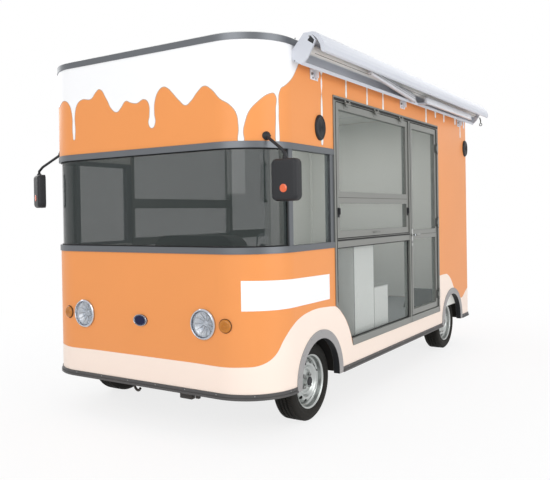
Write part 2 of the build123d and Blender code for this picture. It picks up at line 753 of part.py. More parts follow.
def rear_axle():
    """Driven axle tubes with their spindles, one each side of the motor."""
    inner = MOTOR_LENGTH / 2
    tube_end = WHEEL_X - RIM_HALF_WIDTH - LUG_GAP
    tube = rod_x(REAR_TUBE_RADIUS, (inner, tube_end), REAR_AXLE_Y, WHEEL_Z)
    tube += rod_x(SPINDLE_RADIUS, (inner, spindle_end()), REAR_AXLE_Y, WHEEL_Z)
    tube += spring_pad(REAR_AXLE_Y, REAR_TUBE_RADIUS)
    return both_sides(tube)


def spindle_end():
    """The X where a spindle stops inside its hub."""
    return WHEEL_X + DISC_OFFSET + HUB_LENGTH / 2 - RIM_SHEET


def drive_motor():
    """Motor and gearbox in one plain round block on the rear axle."""
    half = MOTOR_LENGTH / 2
    motor = rod_x(MOTOR_RADIUS, (-half, half), REAR_AXLE_Y, WHEEL_Z)
    return [chamfer(motor.edges().filter_by(GeomType.CIRCLE), MOTOR_RADIUS / 6)]


def knuckle():
    """Left steering knuckle: two lugs round the axle's eye, kingpin, spindle and arm."""
    inner_high = WHEEL_Z + BEAM_HALF + LUG_GAP
    inner_low = WHEEL_Z - BEAM_HALF - LUG_GAP
    low = inner_low - KNUCKLE_SHEET
    high = inner_high + KNUCKLE_SHEET
    web = (KINGPIN_X + KNUCKLE_REACH, KINGPIN_X + KNUCKLE_REACH + KNUCKLE_SHEET)
    y = (FRONT_AXLE_Y - KNUCKLE_HALF_WIDTH, FRONT_AXLE_Y + KNUCKLE_HALF_WIDTH)
    body = block(web, y, (low, high))
    for z in ((low, inner_low), (inner_high, high)):
        body += rod_z(KNUCKLE_HALF_WIDTH, KINGPIN_X, FRONT_AXLE_Y, z)
        body += block((KINGPIN_X, web[0]), y, z)
    body += rod_z(KINGPIN_RADIUS, KINGPIN_X, FRONT_AXLE_Y, (low, high))
    body += rod_x(SPINDLE_RADIUS, (web[0], spindle_end()), FRONT_AXLE_Y, WHEEL_Z)
    ball_y = FRONT_AXLE_Y + STEERING_ARM
    half = ARM_WIDTH / 2
    arm_x = (KINGPIN_X - half, KINGPIN_X + half)
    body += block(arm_x, (FRONT_AXLE_Y, ball_y), (low, inner_low))
    body += rod_z(half, KINGPIN_X, ball_y, (low, inner_low))
    body += rod_z(BALL_RADIUS, KINGPIN_X, ball_y, (low - LUG_GAP - TIE_ROD_EYE_HEIGHT, inner_low))
    return body


def tie_rod():
    """Straight rod with an eye round each steering arm's stud."""
    arm_low = WHEEL_Z - BEAM_HALF - LUG_GAP - KNUCKLE_SHEET
    high = arm_low - LUG_GAP
    z = (high - TIE_ROD_EYE_HEIGHT, high)
    y = FRONT_AXLE_Y + STEERING_ARM
    rod = rod_x(TIE_ROD_RADIUS, (-KINGPIN_X, KINGPIN_X), y, sum(z) / 2)
    for piece in both_sides(rod_z(TIE_ROD_EYE, KINGPIN_X, y, z)):
        rod += piece
    for piece in both_sides(rod_z(BALL_RADIUS + PIN_RUN, KINGPIN_X, y, z)):
        rod -= piece
    return [rod]


# Wheels


def wheel_place(axle_y, side):
    """Where a wheel stands, its local +Z pointing outwards from the vehicle."""
    return Pos(side * WHEEL_X, axle_y, WHEEL_Z) * Rot(0, 90 * side, 0)


def many_sided(rows):
    """A solid of flat faces through level rings, given as radius and place along local Z."""
    outlines = [Pos(0, 0, z) * RegularPolygon(radius, TYRE_SIDES) for radius, z in rows]
    return loft(outlines, ruled=True)


def tyre():
    """Closed tyre section about local Z, in flat facets, with plain shoulders and tread."""
    half = TYRE_WIDTH / 2
    bead = RIM_HALF_WIDTH - 2 * RIM_SHEET
    shoulder = TYRE_HEIGHT / 6
    over_flats = 1 / math.cos(math.pi / TYRE_SIDES)
    inner_side = (
        ((BEAD_RADIUS + RIM_SHEET) * over_flats, -bead),
        ((RIM_RADIUS + SEAM) * over_flats, -bead - RIM_SHEET),
        (RIM_RADIUS + TYRE_HEIGHT / 2, -half),
        (TYRE_RADIUS - shoulder, -half + shoulder / 2),
        (TYRE_RADIUS, -half + 2 * shoulder),
    )
    outer_side = [(radius, -z) for radius, z in reversed(inner_side)]
    hole = RegularPolygon(BEAD_RADIUS + SEAM, TYRE_SIDES, major_radius=False)
    bore = extrude(hole, TYRE_WIDTH, both=True)
    return many_sided(list(inner_side) + outer_side) - bore


def revolved(rows):
    """A closed outline of radius and place along local Z, turned about it."""
    return revolve(make_face(Plane.XZ * Polyline(*rows, close=True)), Axis.Z)


def rim():
    """Steel rim: rolled barrel, dished disc with its vents, hub and lug nuts."""
    seat = RIM_HALF_WIDTH - RIM_SHEET
    well = seat - 8 * RIM_SHEET
    outer = (
        (RIM_RADIUS, RIM_HALF_WIDTH),
        (RIM_RADIUS, seat),
        (BEAD_RADIUS, seat),
        (BEAD_RADIUS, seat - 6 * RIM_SHEET),
        (BARREL_RADIUS, well),
    )
    inner = (
        (RIM_RADIUS - RIM_SHEET, RIM_HALF_WIDTH),
        (BEAD_RADIUS - RIM_SHEET, seat),
        (BEAD_RADIUS - RIM_SHEET, seat - 6 * RIM_SHEET),
        (BARREL_RADIUS - RIM_SHEET, well),
    )
    upper = list(outer) + [(radius, -z) for radius, z in reversed(outer)]
    lower = list(inner) + [(radius, -z) for radius, z in reversed(inner)]
    barrel = revolved(upper + list(reversed(lower)))
    crown = DISC_OFFSET + DISC_DISH
    front = (
        (HUB_RADIUS - RIM_SHEET, DISC_OFFSET),
        (LUG_CIRCLE + 2 * LUG_RADIUS, DISC_OFFSET),
        (VENT_CIRCLE - 4 * VENT_RADIUS, crown),
        (VENT_CIRCLE, crown),
        (BARREL_RADIUS - RIM_SHEET, DISC_OFFSET - DISC_DISH),
        (BARREL_RADIUS - RIM_SHEET / 2, DISC_OFFSET - 2 * DISC_DISH),
    )
    back = [(radius, z - RIM_SHEET) for radius, z in reversed(front)]
    wheel = barrel + revolved(list(front) + back)
    for turn in range(VENT_COUNT):
        vent = Pos(VENT_CIRCLE, 0, DISC_OFFSET) * Cylinder(VENT_RADIUS, HUB_LENGTH)
        wheel -= Rot(0, 0, 360 * turn / VENT_COUNT) * vent
    bore = Cylinder(SPINDLE_RADIUS + PIN_RUN, HUB_LENGTH)
    wheel += Pos(0, 0, DISC_OFFSET) * Cylinder(HUB_RADIUS, HUB_LENGTH)
    wheel -= Pos(0, 0, DISC_OFFSET - RIM_SHEET) * bore
    for turn in range(LUG_COUNT):
        lug = Pos(LUG_CIRCLE, 0, DISC_OFFSET) * Cylinder(LUG_RADIUS, LUG_LENGTH)
        wheel += Rot(0, 0, 360 * (turn + 0.5) / LUG_COUNT) * lug
    return wheel


# Lamps, badge, speakers and mirrors


def on_nose(x, z, piece):
    """A piece whose local +Z points out of the nose, seated on the skin at x."""
    y, turn = nose_point(x)
    placed = Pos(x, y, z) * Rot(0, 0, turn) * Rot(90, 0, 0) * piece
    return placed - prism(plan(0), 0, ROOF_LOW)


def headlamp_bezels():
    """Bright bowls in the nose's pockets, each with a rolled edge."""
    rows = (
        (LAMP_RADIUS, 0),
        (LAMP_RADIUS, LAMP_PROUD - BEZEL_SHEET),
        (LAMP_RADIUS - BEZEL_SHEET, LAMP_PROUD),
        (LENS_RADIUS, LAMP_PROUD - BEZEL_SHEET / 2),
        (LENS_RADIUS - BEZEL_SHEET, 0),
        (LENS_RADIUS / 2, BEZEL_SHEET - LAMP_POCKET),
        (0, BEZEL_SHEET - LAMP_POCKET),
        (0, -LAMP_POCKET),
        (LENS_RADIUS / 2 + BEZEL_SHEET, -LAMP_POCKET),
        (LENS_RADIUS - SEAM, -2 * BEZEL_SHEET),
        (LENS_RADIUS - SEAM, 0),
    )
    bowl = revolved(rows)
    return [Pos(x, NOSE, LAMP_Z) * Rot(90, 0, 0) * bowl for x in (-LAMP_X, LAMP_X)]


def headlamp_lenses():
    """Domed clear lenses inside the bezels."""
    depth = LAMP_PROUD - BEZEL_SHEET
    radius = (LENS_RADIUS**2 + depth**2) / (2 * depth)
    dome = Pos(0, 0, depth - radius) * (Sphere(radius) - Sphere(radius - LENS_THICKNESS))
    dome &= Pos(0, 0, 1 + depth) * Cylinder(LENS_RADIUS - BEZEL_SHEET - SEAM, 2 * depth)
    return [Pos(x, NOSE, LAMP_Z) * Rot(90, 0, 0) * dome for x in (-LAMP_X, LAMP_X)]


def domed_disc(radius, proud):
    """A round lamp with a rounded rim, reaching back behind its seat."""
    disc = Cylinder(radius, 2 * proud)
    return fillet(disc.edges().group_by(Axis.Z)[-1], proud * 0.8)


def indicator_lamps():
    """Round amber lamps outboard of the headlamps."""
    disc = domed_disc(INDICATOR_RADIUS, INDICATOR_PROUD)
    return [on_nose(x, LAMP_Z, disc) for x in (-INDICATOR_X, INDICATOR_X)]


def front_badge():
    """Blank oval on the nose."""
    oval = extrude(Ellipse(BADGE_HALF_WIDTH, BADGE_HALF_HEIGHT), 2 * BADGE_PROUD, both=True)
    oval = Pos(0, 0, -BADGE_PROUD) * fillet(oval.edges().group_by(Axis.Z)[-1], BADGE_PROUD / 3)
    return [on_nose(0, BADGE_Z, oval)]


def tail_lamps():
    """Two round lamps at each side of the rear wall."""
    disc = fillet(
        Cylinder(TAIL_RADIUS, TAIL_PROUD).edges().group_by(Axis.Z)[-1], TAIL_PROUD / 2
    )
    pieces = []
    for z in TAIL_HEIGHTS:
        pieces += both_sides(Pos(TAIL_X, TAIL + TAIL_PROUD / 2, z) * Rot(-90, 0, 0) * disc)
    return pieces


def speakers():
    """Round black speakers on the service side."""
    pieces = []
    for y, z, radius in SPEAKER_PLACES:
        disc = rod_x(radius, (SIDE, SIDE + SPEAKER_PROUD), y, z)
        pieces.append(fillet(disc.edges().group_by(Axis.X)[-1], SPEAKER_PROUD / 2))
    return pieces


def mirror_arms():
    """Bent tubes from the upper corners of the nose to the mirrors."""
    root = (MIRROR_ROOT_X, nose_point(MIRROR_ROOT_X)[0], MIRROR_ROOT_Z)
    path = FilletPolyline(
        root,
        (MIRROR_X - MIRROR_ELBOW_RUN, MIRROR_Y + MIRROR_ARM_RADIUS, MIRROR_ELBOW_Z),
        (MIRROR_X, MIRROR_Y, MIRROR_ELBOW_Z - MIRROR_ELBOW_RUN),
        (MIRROR_X, MIRROR_Y, MIRROR_Z + MIRROR_HEIGHT / 2),
        radius=MIRROR_ARM_BEND,
    )
    start = Plane(root, z_dir=path % 0)
    arm = sweep(start * Circle(MIRROR_ARM_RADIUS), path)
    arm += Pos(*root) * Sphere(MIRROR_BALL)
    return both_sides(arm - prism(plan(0), 0, BEYOND))


def mirror_heads():
    """Upright rounded mirrors that face the rear."""
    outline = RectangleRounded(MIRROR_WIDTH, MIRROR_HEIGHT, MIRROR_CORNER)
    head = extrude(outline, MIRROR_DEPTH / 2, both=True)
    head = fillet(head.edges().group_by(Axis.Z)[-1], MIRROR_DEPTH / 3)
    return both_sides(Pos(MIRROR_X, MIRROR_Y, MIRROR_Z) * Rot(90, 0, 0) * head)


# Awning


def awning_profile(points, front, rear):
    """An awning section, given as reach from the side and drop from the top, along Y."""
    outline = Polyline(*[(SIDE + reach, AWNING_TOP - drop) for reach, drop in points], close=True)
    face = make_face(Plane.XZ * outline)
    return Pos(0, front, 0) * extrude(face, rear - front, dir=(0, 1, 0))


def awning_case():
    """Wall case: back, roof and arm tray in one section, with a cap at each end."""
    sheet = AWNING_SHEET
    slope_reach, slope_drop = AWNING_SLOPE
    back = [
        (SEAM, AWNING_HEIGHT - AWNING_HEEL),
        (SEAM, AWNING_SHOULDER),
        (slope_reach, slope_drop),
        (AWNING_ROOF_REACH, 0),
        (AWNING_LEDGE, 0),
    ]
    inside = [
        (AWNING_LEDGE, sheet),
        (AWNING_ROOF_REACH + sheet / 2, sheet),
        (slope_reach + sheet / 2, slope_drop + sheet),
        (2 * sheet, AWNING_SHOULDER),
        (2 * sheet, AWNING_HEIGHT - AWNING_HEEL - sheet),
        (AWNING_TRAY_REACH + sheet, AWNING_HEIGHT - 2 * sheet),
    ]
    foot = [(AWNING_TRAY_REACH, AWNING_HEIGHT)]
    edge = [(AWNING_LEDGE + reach, drop) for reach, drop in AWNING_CAP_EDGE]
    case = awning_profile(back + inside + foot, AWNING_FRONT, AWNING_REAR)
    for front in (AWNING_FRONT, AWNING_REAR - AWNING_CAP):
        case += awning_profile(back + edge + foot, front, front + AWNING_CAP)
    high = ARM_Z - ARM_HALF - SEAM
    for reach, y in ARM_SHOULDERS:
        x = (SIDE + ARM_BRACKET_REACH, SIDE + reach + ARM_HALF)
        case += block(x, (y, y + ARM_BRACKET), (high - ARM_BRACKET_SHEET, high))
    return [case]


def awning_front_bar():
    """Curved lead rail that closes the case's front when the awning is in."""
    ledge = AWNING_LEDGE + SEAM
    section = [(ledge + reach, drop) for reach, drop in AWNING_BAR_OUTER + AWNING_BAR_INNER]
    return [awning_profile(section, AWNING_FRONT, AWNING_REAR)]


def awning_roller():
    """Rolled fabric between the end caps."""
    length = AWNING_REAR - AWNING_FRONT - 2 * AWNING_CAP
    roller = Rot(90, 0, 0) * Cylinder(ROLLER_RADIUS, length)
    return [Pos(SIDE + ROLLER_REACH, AWNING_MIDDLE, ROLLER_Z) * roller]


def arm_bar(start, end):
    """A square bar between two points of reach, Y and Z."""
    first = Vector(SIDE + start[0], start[1], start[2])
    last = Vector(SIDE + end[0], end[1], end[2])
    along = last - first
    section = Plane(first, z_dir=along) * Rectangle(2 * ARM_HALF, 2 * ARM_HALF)
    return extrude(section, along.length, dir=along)


def awning_arms():
    """Folded arms: one out to the front bar, one along the case."""
    (front_reach, front_y), (rear_reach, rear_y) = ARM_SHOULDERS
    front_arm = arm_bar((front_reach, front_y + ARM_BRACKET, ARM_Z), ARM_ELBOW)
    rear_arm = arm_bar((rear_reach, rear_y, ARM_Z), (rear_reach, ARM_REAR_END, ARM_Z))
    return [front_arm, rear_arm]


# Inside


def dashboard():
    """Dashboard across the nose, the binnacle on it and the steering column."""
    dash = prism(plan(WALL + SEAM), DASH_HIGH - DASH_HEIGHT, DASH_HIGH)
    dash &= stretch(-BEYOND, DASH_REAR)
    hood = SlotOverall(BINNACLE_WIDTH, 2 * BINNACLE_RISE)
    hood &= Pos(0, BINNACLE_RISE) * Rectangle(BINNACLE_WIDTH, 2 * BINNACLE_RISE)
    middle = BINNACLE_LEFT - BINNACLE_WIDTH / 2
    dash += Pos(middle, DASH_REAR, DASH_HIGH) * extrude(Plane.XZ * hood, BINNACLE_DEPTH)
    start = steering_plane().offset(-STEERING_GRIP)
    column = start * Pos(0, 0, -COLUMN_LENGTH / 2) * Cylinder(COLUMN_RADIUS, COLUMN_LENGTH)
    return [dash + column]


def steering_plane():
    """The steering wheel's plane, its Z pointing up the column at the driver."""
    tilt = math.radians(STEERING_TILT)
    return Plane(WHEEL_CENTRE, x_dir=(1, 0, 0), z_dir=(0, math.sin(tilt), math.cos(tilt)))


def steering_wheel():
    """Grip ring, hub and three spokes."""
    wheel = Torus(STEERING_RADIUS, STEERING_GRIP)
    wheel += Cylinder(2 * COLUMN_RADIUS, 2 * STEERING_GRIP - 2 * PIN_RUN)
    spoke = Pos(STEERING_RADIUS / 2, 0, 0) * Box(STEERING_RADIUS, SPOKE_WIDTH, STEERING_GRIP)
    for turn in SPOKE_TURNS:
        wheel += Rot(0, 0, turn) * spoke
    return [steering_plane() * wheel]


def seat_base():
    """Pedestal bolted to the deck."""
    half = SEAT_WIDTH / 2 - SEAT_BASE_INSET
    y = (SEAT_FRONT + SEAT_BASE_INSET, SEAT_FRONT + SEAT_DEPTH - SEAT_BASE_INSET)
    return [block((SEAT_X - half, SEAT_X + half), y, (FLOOR_TOP, SEAT_BASE_HIGH))]


def driver_seat():
    """Cushion and back rest."""
    half = SEAT_WIDTH / 2
    x = (SEAT_X - half, SEAT_X + half)
    rear = SEAT_FRONT + SEAT_DEPTH
    high = SEAT_BASE_HIGH + SEAT_CUSHION
    cushion = block(x, (SEAT_FRONT, rear), (SEAT_BASE_HIGH, high))
    cushion = fillet(cushion.edges().group_by(Axis.Z)[-1], SEAT_CORNER)
    back_z = (high - SEAT_BACK_LAP, SEAT_BASE_HIGH + SEAT_BACK_HEIGHT)
    back = block(x, (rear - SEAT_BACK_THICKNESS, rear), back_z)
    back = fillet(back.edges().group_by(Axis.Z)[-1], SEAT_CORNER)
    return [cushion + back]


def cabinets():
    """Tall white cabinet behind the fixed pane, with a low one beside it."""
    x = (CABINET_INNER, CABINET_OUTER)
    tall = block(x, (UPRIGHT_FRONT, UPRIGHT_REAR), (FLOOR_TOP, UPRIGHT_HIGH))
    low_y = (UPRIGHT_REAR, UPRIGHT_REAR + LOW_CABINET_DEPTH)
    return [tall + block(x, low_y, (FLOOR_TOP, FLOOR_TOP + LOW_CABINET_HEIGHT))]


def service_counter():
    """Work counter along the far side: a worktop on a cupboard, over the wheel housing."""
    x = (-(SIDE - WALL - SEAM - (FRAME_DEPTH - WALL)), COUNTER_INNER)
    top = block(x, (COUNTER_FRONT, COUNTER_REAR), (COUNTER_HIGH - COUNTER_TOP, COUNTER_HIGH))
    base_x = (x[0], COUNTER_INNER - COUNTER_TOP)
    base_y = (COUNTER_FRONT + COUNTER_TOP, COUNTER_BASE_REAR)
    base = block(base_x, base_y, (FLOOR_TOP, COUNTER_HIGH - COUNTER_TOP))
    leg_y = (COUNTER_REAR, COUNTER_REAR + COUNTER_TOP)
    leg = block(x, leg_y, (FLOOR_TOP, COUNTER_HIGH))
    return [top + base + leg]


def build():
    """Write every node."""
    os.makedirs("parts", exist_ok=True)
    hatch_frame, hatch_panes = hatch()
    door_frame, door_panes = door()
    left_knuckle = knuckle()
    nodes = {
        "front_shell_lower": front_shell_lower(),
        "front_shell_upper": front_shell_upper(),
        "side_panels": side_panels(),
        "rear_wall": rear_wall(),
        "roof_panel": roof_panel(),
        "roof_trim": roof_trim(),
        "screen_frame": screen_frame(),
        "sill_trim": sill_trim(),
        "arch_trims": arch_trims(),
        "windscreen": windscreen(),
        "side_frame_left": side_frame_left(),
        "side_frame_right": side_frame_right(),
        "fixed_glass": fixed_glass(),
        "hatch_frame": hatch_frame,
        "hatch_glass": hatch_panes,
        "door_frame": door_frame,
        "door_glass": door_panes,
        "wheel_housings": wheel_housings(),
        "floor_deck": floor_deck(),
        "chassis_rails": chassis_rails(),
        "chassis_members": chassis_members(),
        "tow_eyes": tow_eyes(),
        "leaf_springs": leaf_springs(),
        "battery_box": battery_box(),
        "front_axle": front_axle(),
        "rear_axle": rear_axle(),
        "drive_motor": drive_motor(),
        "knuckle_left": [left_knuckle],
        "knuckle_right": [other_side(left_knuckle)],
        "tie_rod": tie_rod(),
        "headlamp_bezels": headlamp_bezels(),
        "headlamp_lenses": headlamp_lenses(),
        "indicator_lamps": indicator_lamps(),
        "front_badge": front_badge(),
        "tail_lamps": tail_lamps(),
        "speakers": speakers(),
        "mirror_arms": mirror_arms(),
        "mirror_heads": mirror_heads(),
        "awning_case": awning_case(),
        "awning_front_bar": awning_front_bar(),
        "awning_roller": awning_roller(),
        "awning_arms": awning_arms(),
        "dashboard": dashboard(),
        "steering_wheel": steering_wheel(),
        "seat_base": seat_base(),
        "driver_seat": driver_seat(),
        "cabinets": cabinets(),
        "service_counter": service_counter(),
    }
    tyre_shape = tyre()
    rim_shape = rim()
    corners = (
        ("front_left", FRONT_AXLE_Y, 1),
        ("front_right", FRONT_AXLE_Y, -1),
        ("rear_left", REAR_AXLE_Y, 1),
        ("rear_right", REAR_AXLE_Y, -1),
    )
    for corner, axle_y, side in corners:
        place = wheel_place(axle_y, side)
        nodes[f"tyre_{corner}"] = [place * tyre_shape]
        nodes[f"rim_{corner}"] = [place * rim_shape]
    for name, pieces in nodes.items():
        write(name, pieces)


build()
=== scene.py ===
"""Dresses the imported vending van: finishes, films, tread, lamps, trim, cabin, studio and camera."""

import json
import logging
import math
from collections.abc import Iterable, Sequence
from dataclasses import dataclass
from enum import Enum

import bmesh
import bpy
from mathutils import Matrix, Vector

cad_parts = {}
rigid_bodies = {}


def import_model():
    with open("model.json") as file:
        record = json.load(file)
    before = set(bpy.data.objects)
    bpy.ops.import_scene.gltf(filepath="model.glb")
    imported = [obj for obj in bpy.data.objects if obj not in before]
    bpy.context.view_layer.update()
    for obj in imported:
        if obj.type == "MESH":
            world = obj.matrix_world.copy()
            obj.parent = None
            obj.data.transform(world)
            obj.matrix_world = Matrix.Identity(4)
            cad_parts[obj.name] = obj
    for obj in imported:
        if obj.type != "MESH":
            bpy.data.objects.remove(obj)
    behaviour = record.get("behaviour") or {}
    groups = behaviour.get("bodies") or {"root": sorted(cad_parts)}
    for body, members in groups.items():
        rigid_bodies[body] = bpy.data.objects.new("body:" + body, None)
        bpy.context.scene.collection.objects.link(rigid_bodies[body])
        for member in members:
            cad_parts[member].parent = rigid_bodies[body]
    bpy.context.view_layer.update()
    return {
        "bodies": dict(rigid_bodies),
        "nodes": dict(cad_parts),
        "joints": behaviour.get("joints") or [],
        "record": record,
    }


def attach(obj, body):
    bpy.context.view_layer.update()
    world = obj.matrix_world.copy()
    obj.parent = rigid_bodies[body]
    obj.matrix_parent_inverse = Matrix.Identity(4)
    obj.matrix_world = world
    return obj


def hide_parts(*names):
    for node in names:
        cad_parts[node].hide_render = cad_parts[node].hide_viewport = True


log = logging.getLogger("vending_van")

Pair = tuple[float, float]
Row = Sequence[float]
Rows = Sequence[Row]
Socket = bpy.types.NodeSocket
Tree = bpy.types.NodeTree

MM = 0.001
SMOOTH_ANGLE = math.radians(35)
WELD = 1e-6

# Ways to face: the van looks along -Y, and its left side serves
LEFT, RIGHT, BACK, FORWARD, UP, DOWN = (1, 0, 0), (-1, 0, 0), (0, 1, 0), (0, -1, 0), (0, 0, 1), (0, 0, -1)

# The van's own lines, in metres, as the frame has them
SIDE = 0.95
NOSE = -1.94
TAIL = 1.94
FRONT_RADIUS = 0.33
REAR_RADIUS = 0.06
WHEEL_Z = 0.252
FRONT_AXLE = -1.3
REAR_AXLE = 1.38
FRONT_ARCH = -1.291
REAR_ARCH = 1.385
ARCH_Z = 0.285
ARCH_TRIM_RADIUS = 0.306
SILL_TRIM_TOP = 0.291
ROOF_LOW = 2.361
FRAME_FRONT = -1.077
FRAME_REAR = 1.008
FRAME_LOW = 0.411
FRAME_HIGH = 2.133


# Small helpers for colours and nodes


def linear(colour: str) -> tuple[float, float, float, float]:
    """Turn an sRGB hex colour to a linear one.

    Args:
        colour: Six hex digits after a hash sign.

    Returns:
        Red, green, blue and an alpha of 1.
    """
    parts = [int(colour[place : place + 2], 16) / 255 for place in (1, 3, 5)]
    red, green, blue = (
        part / 12.92 if part <= 0.04045 else ((part + 0.055) / 1.055) ** 2.4 for part in parts
    )
    return red, green, blue, 1.0


def shade(colour: tuple[float, ...], amount: float) -> tuple[float, float, float, float]:
    """Make a linear colour lighter, or darker where the amount is below 1.

    Args:
        colour: The linear colour.
        amount: What each part is multiplied by.

    Returns:
        The new linear colour.
    """
    red, green, blue = (min(1.0, part * amount) for part in colour[:3])
    return red, green, blue, 1.0


def add_node(
    tree: Tree, kind: str, inputs: dict | None = None, links: dict | None = None, **settings: object
) -> bpy.types.Node:
    """Add one shader node.

    Args:
        tree: The node tree it goes in.
        kind: Blender's type name of the node.
        inputs: Values by socket name or number.
        links: Output sockets of other nodes by the socket name or number that they feed.
        settings: Values of the node's own properties.

    Returns:
        The new node.
    """
    node = tree.nodes.new(kind)
    for key, value in settings.items():
        setattr(node, key, value)
    for key, value in (inputs or {}).items():
        node.inputs[key].default_value = value
    for key, source in (links or {}).items():
        tree.links.new(source, node.inputs[key])
    return node


class Surface(Enum):
    """How a surface was made: its texture node and how far that is stretched along X, Y and Z."""

    SPRAYED = ("ShaderNodeTexNoise", (1.0, 1.0, 1.0))
    EXTRUDED = ("ShaderNodeTexNoise", (30.0, 1.0, 30.0))
    ROLLED = ("ShaderNodeTexNoise", (30.0, 30.0, 1.0))
    MOULDED = ("ShaderNodeTexVoronoi", (1.0, 1.0, 1.0))
    CAST = ("ShaderNodeTexNoise", (1.0, 1.0, 1.0))
    WOVEN = ("ShaderNodeTexWave", (1.0, 1.0, 1.0))
    POLISHED = ("ShaderNodeTexNoise", (1.0, 1.0, 1.0))


@dataclass(frozen=True)
class Finish:
    """What a surface is made of and how it was made.

    Attributes:
        name: The material's common name and how it was finished.
        colour: sRGB hex colour.
        surface: How the surface was made, which gives its fine pattern.
        grain: Size of the fine pattern, in millimetres.
        relief: Height of the fine pattern, in millimetres.
        roughness: Middle value of the roughness.
        metallic: 1 for bare or plated metal.
        ior: Index of refraction, left at 1.5 for a metal.
        coat: Weight of a clear top coat.
        alpha: Below 1 for glass that shows what is behind it.
        transmission: Weight of clear moulded plastic or glass.
        sheen: Weight of the soft edge light of cloth.
        tone: How far the colour drifts over the surface.
        dust: How much road dust lies on its lower end.
        slot: The record's material slot that most of its pieces belong to.
    """

    name: str
    colour: str
    surface: Surface
    grain: float
    relief: float
    roughness: float
    metallic: float = 0.0
    ior: float = 1.5
    coat: float = 0.0
    alpha: float = 1.0
    transmission: float = 0.0
    sheen: float = 0.0
    tone: float = 0.04
    dust: float = 0.0
    slot: str = ""

    DRIFT_SIZE = 0.45
    DUST_TOP = 0.75
    DUST_LOW = 0.05
    DUST_COLOUR = "#a89c8c"

    def material(self) -> bpy.types.Material:
        """Build the material once, or give the one that is there."""
        known = bpy.data.materials.get(self.name)
        if known is not None:
            return known
        made = bpy.data.materials.new(self.name)
        made.use_nodes = True
        tree = made.node_tree
        tree.nodes.clear()
        place = add_node(tree, "ShaderNodeTexCoord").outputs["Object"]
        fine = self._fine(tree, place)
        base = linear(self.colour)
        drift = add_node(
            tree, "ShaderNodeTexNoise", {"Scale": 1 / self.DRIFT_SIZE, "Detail": 4.0}, {"Vector": place}
        )
        colour = add_node(
            tree, "ShaderNodeMix", {6: shade(base, 1 - self.tone), 7: shade(base, 1 + self.tone)},
            {0: drift.outputs[0]}, data_type="RGBA"
        ).outputs[2]
        if self.dust:
            colour = self._dusted(tree, place, drift.outputs[0], colour)
        rough = add_node(
            tree, "ShaderNodeMapRange", {"To Min": max(0.02, self.roughness * 0.85),
            "To Max": self.roughness * 1.15}, {"Value": fine}
        )
        bump = add_node(
            tree, "ShaderNodeBump", {"Strength": 0.6, "Distance": self.relief * MM}, {"Height": fine}
        )
        shader = add_node(
            tree, "ShaderNodeBsdfPrincipled", {"Metallic": self.metallic, "IOR": self.ior,
            "Coat Weight": self.coat, "Coat Roughness": 0.08, "Alpha": self.alpha,
            "Transmission Weight": self.transmission, "Sheen Weight": self.sheen}, {"Base Color": colour,
            "Roughness": rough.outputs[0], "Normal": bump.outputs[0]}
        )
        add_node(tree, "ShaderNodeOutputMaterial", {}, {"Surface": shader.outputs[0]})
        return made

    def _fine(self, tree: Tree, place: Socket) -> Socket:
        """Add the fine pattern at its real size.

        Args:
            tree: The material's node tree.
            place: The object coordinates.

        Returns:
            A value from 0 to 1.
        """
        kind, stretch = self.surface.value
        repeat = 1 / (self.grain * MM)
        mapping = add_node(
            tree, "ShaderNodeMapping", {"Scale": [repeat / along for along in stretch]}, {"Vector": place}
        )
        if self.surface is Surface.WOVEN:
            threads = [
                add_node(tree, kind, {"Scale": 0.5, "Distortion": 0.4}, {"Vector": mapping.outputs[0]},
                bands_direction=way) for way in ("Y", "DIAGONAL")
            ]
            both = add_node(
                tree, "ShaderNodeMath", {}, {0: threads[0].outputs[1], 1: threads[1].outputs[1]},
                operation="MULTIPLY"
            )
            return both.outputs[0]
        pattern = add_node(tree, kind, {"Scale": 1.0}, {"Vector": mapping.outputs[0]})
        return pattern.outputs[0]

    def _dusted(self, tree: Tree, place: Socket, drift: Socket, colour: Socket) -> Socket:
        """Lay road dust on the lower end of a piece.

        Args:
            tree: The material's node tree.
            place: The object coordinates.
            drift: A slow noise that breaks the dust up.
            colour: The clean colour.

        Returns:
            The colour with dust on it.
        """
        height = add_node(tree, "ShaderNodeSeparateXYZ", {}, {0: place}).outputs[2]
        low = add_node(
            tree, "ShaderNodeMapRange", {"From Min": self.DUST_TOP, "From Max": self.DUST_LOW,
            "To Max": 2 * self.dust}, {"Value": height}
        )
        amount = add_node(tree, "ShaderNodeMath", {}, {0: low.outputs[0], 1: drift}, operation="MULTIPLY")
        return add_node(
            tree, "ShaderNodeMix", {7: linear(self.DUST_COLOUR)}, {0: amount.outputs[0], 6: colour},
            data_type="RGBA"
        ).outputs[2]


# Two-pack body paint over sheet: glossy, with a faint orange peel
ORANGE_PAINT = Finish(
    "two_pack_paint_orange", "#ee9a58", Surface.SPRAYED, 6.0, 0.03, 0.38, ior=1.33, tone=0.03, dust=0.04
, slot="body_paint")
WHITE_PAINT = Finish(
    "two_pack_paint_white", "#eeeeeb", Surface.SPRAYED, 6.0, 0.03, 0.38, ior=1.4, tone=0.02, slot="roof_paint"
)
# Cast vinyl film, a little duller than the paint it lies on
WHITE_FILM = Finish(
    "cast_vinyl_white", "#fafafa", Surface.SPRAYED, 9.0, 0.02, 0.4, ior=1.35, tone=0.01, slot="body_paint"
)
CREAM_FILM = Finish(
    "cast_vinyl_cream", "#fdebdd", Surface.SPRAYED, 9.0, 0.02, 0.4, ior=1.35, tone=0.015, dust=0.05
, slot="body_paint")
# Solvent ink on film: flat and even
INK_GREY = Finish(
    "solvent_ink_grey", "#b9a99c", Surface.SPRAYED, 9.0, 0.01, 0.45, tone=0.02, slot="body_paint"
)
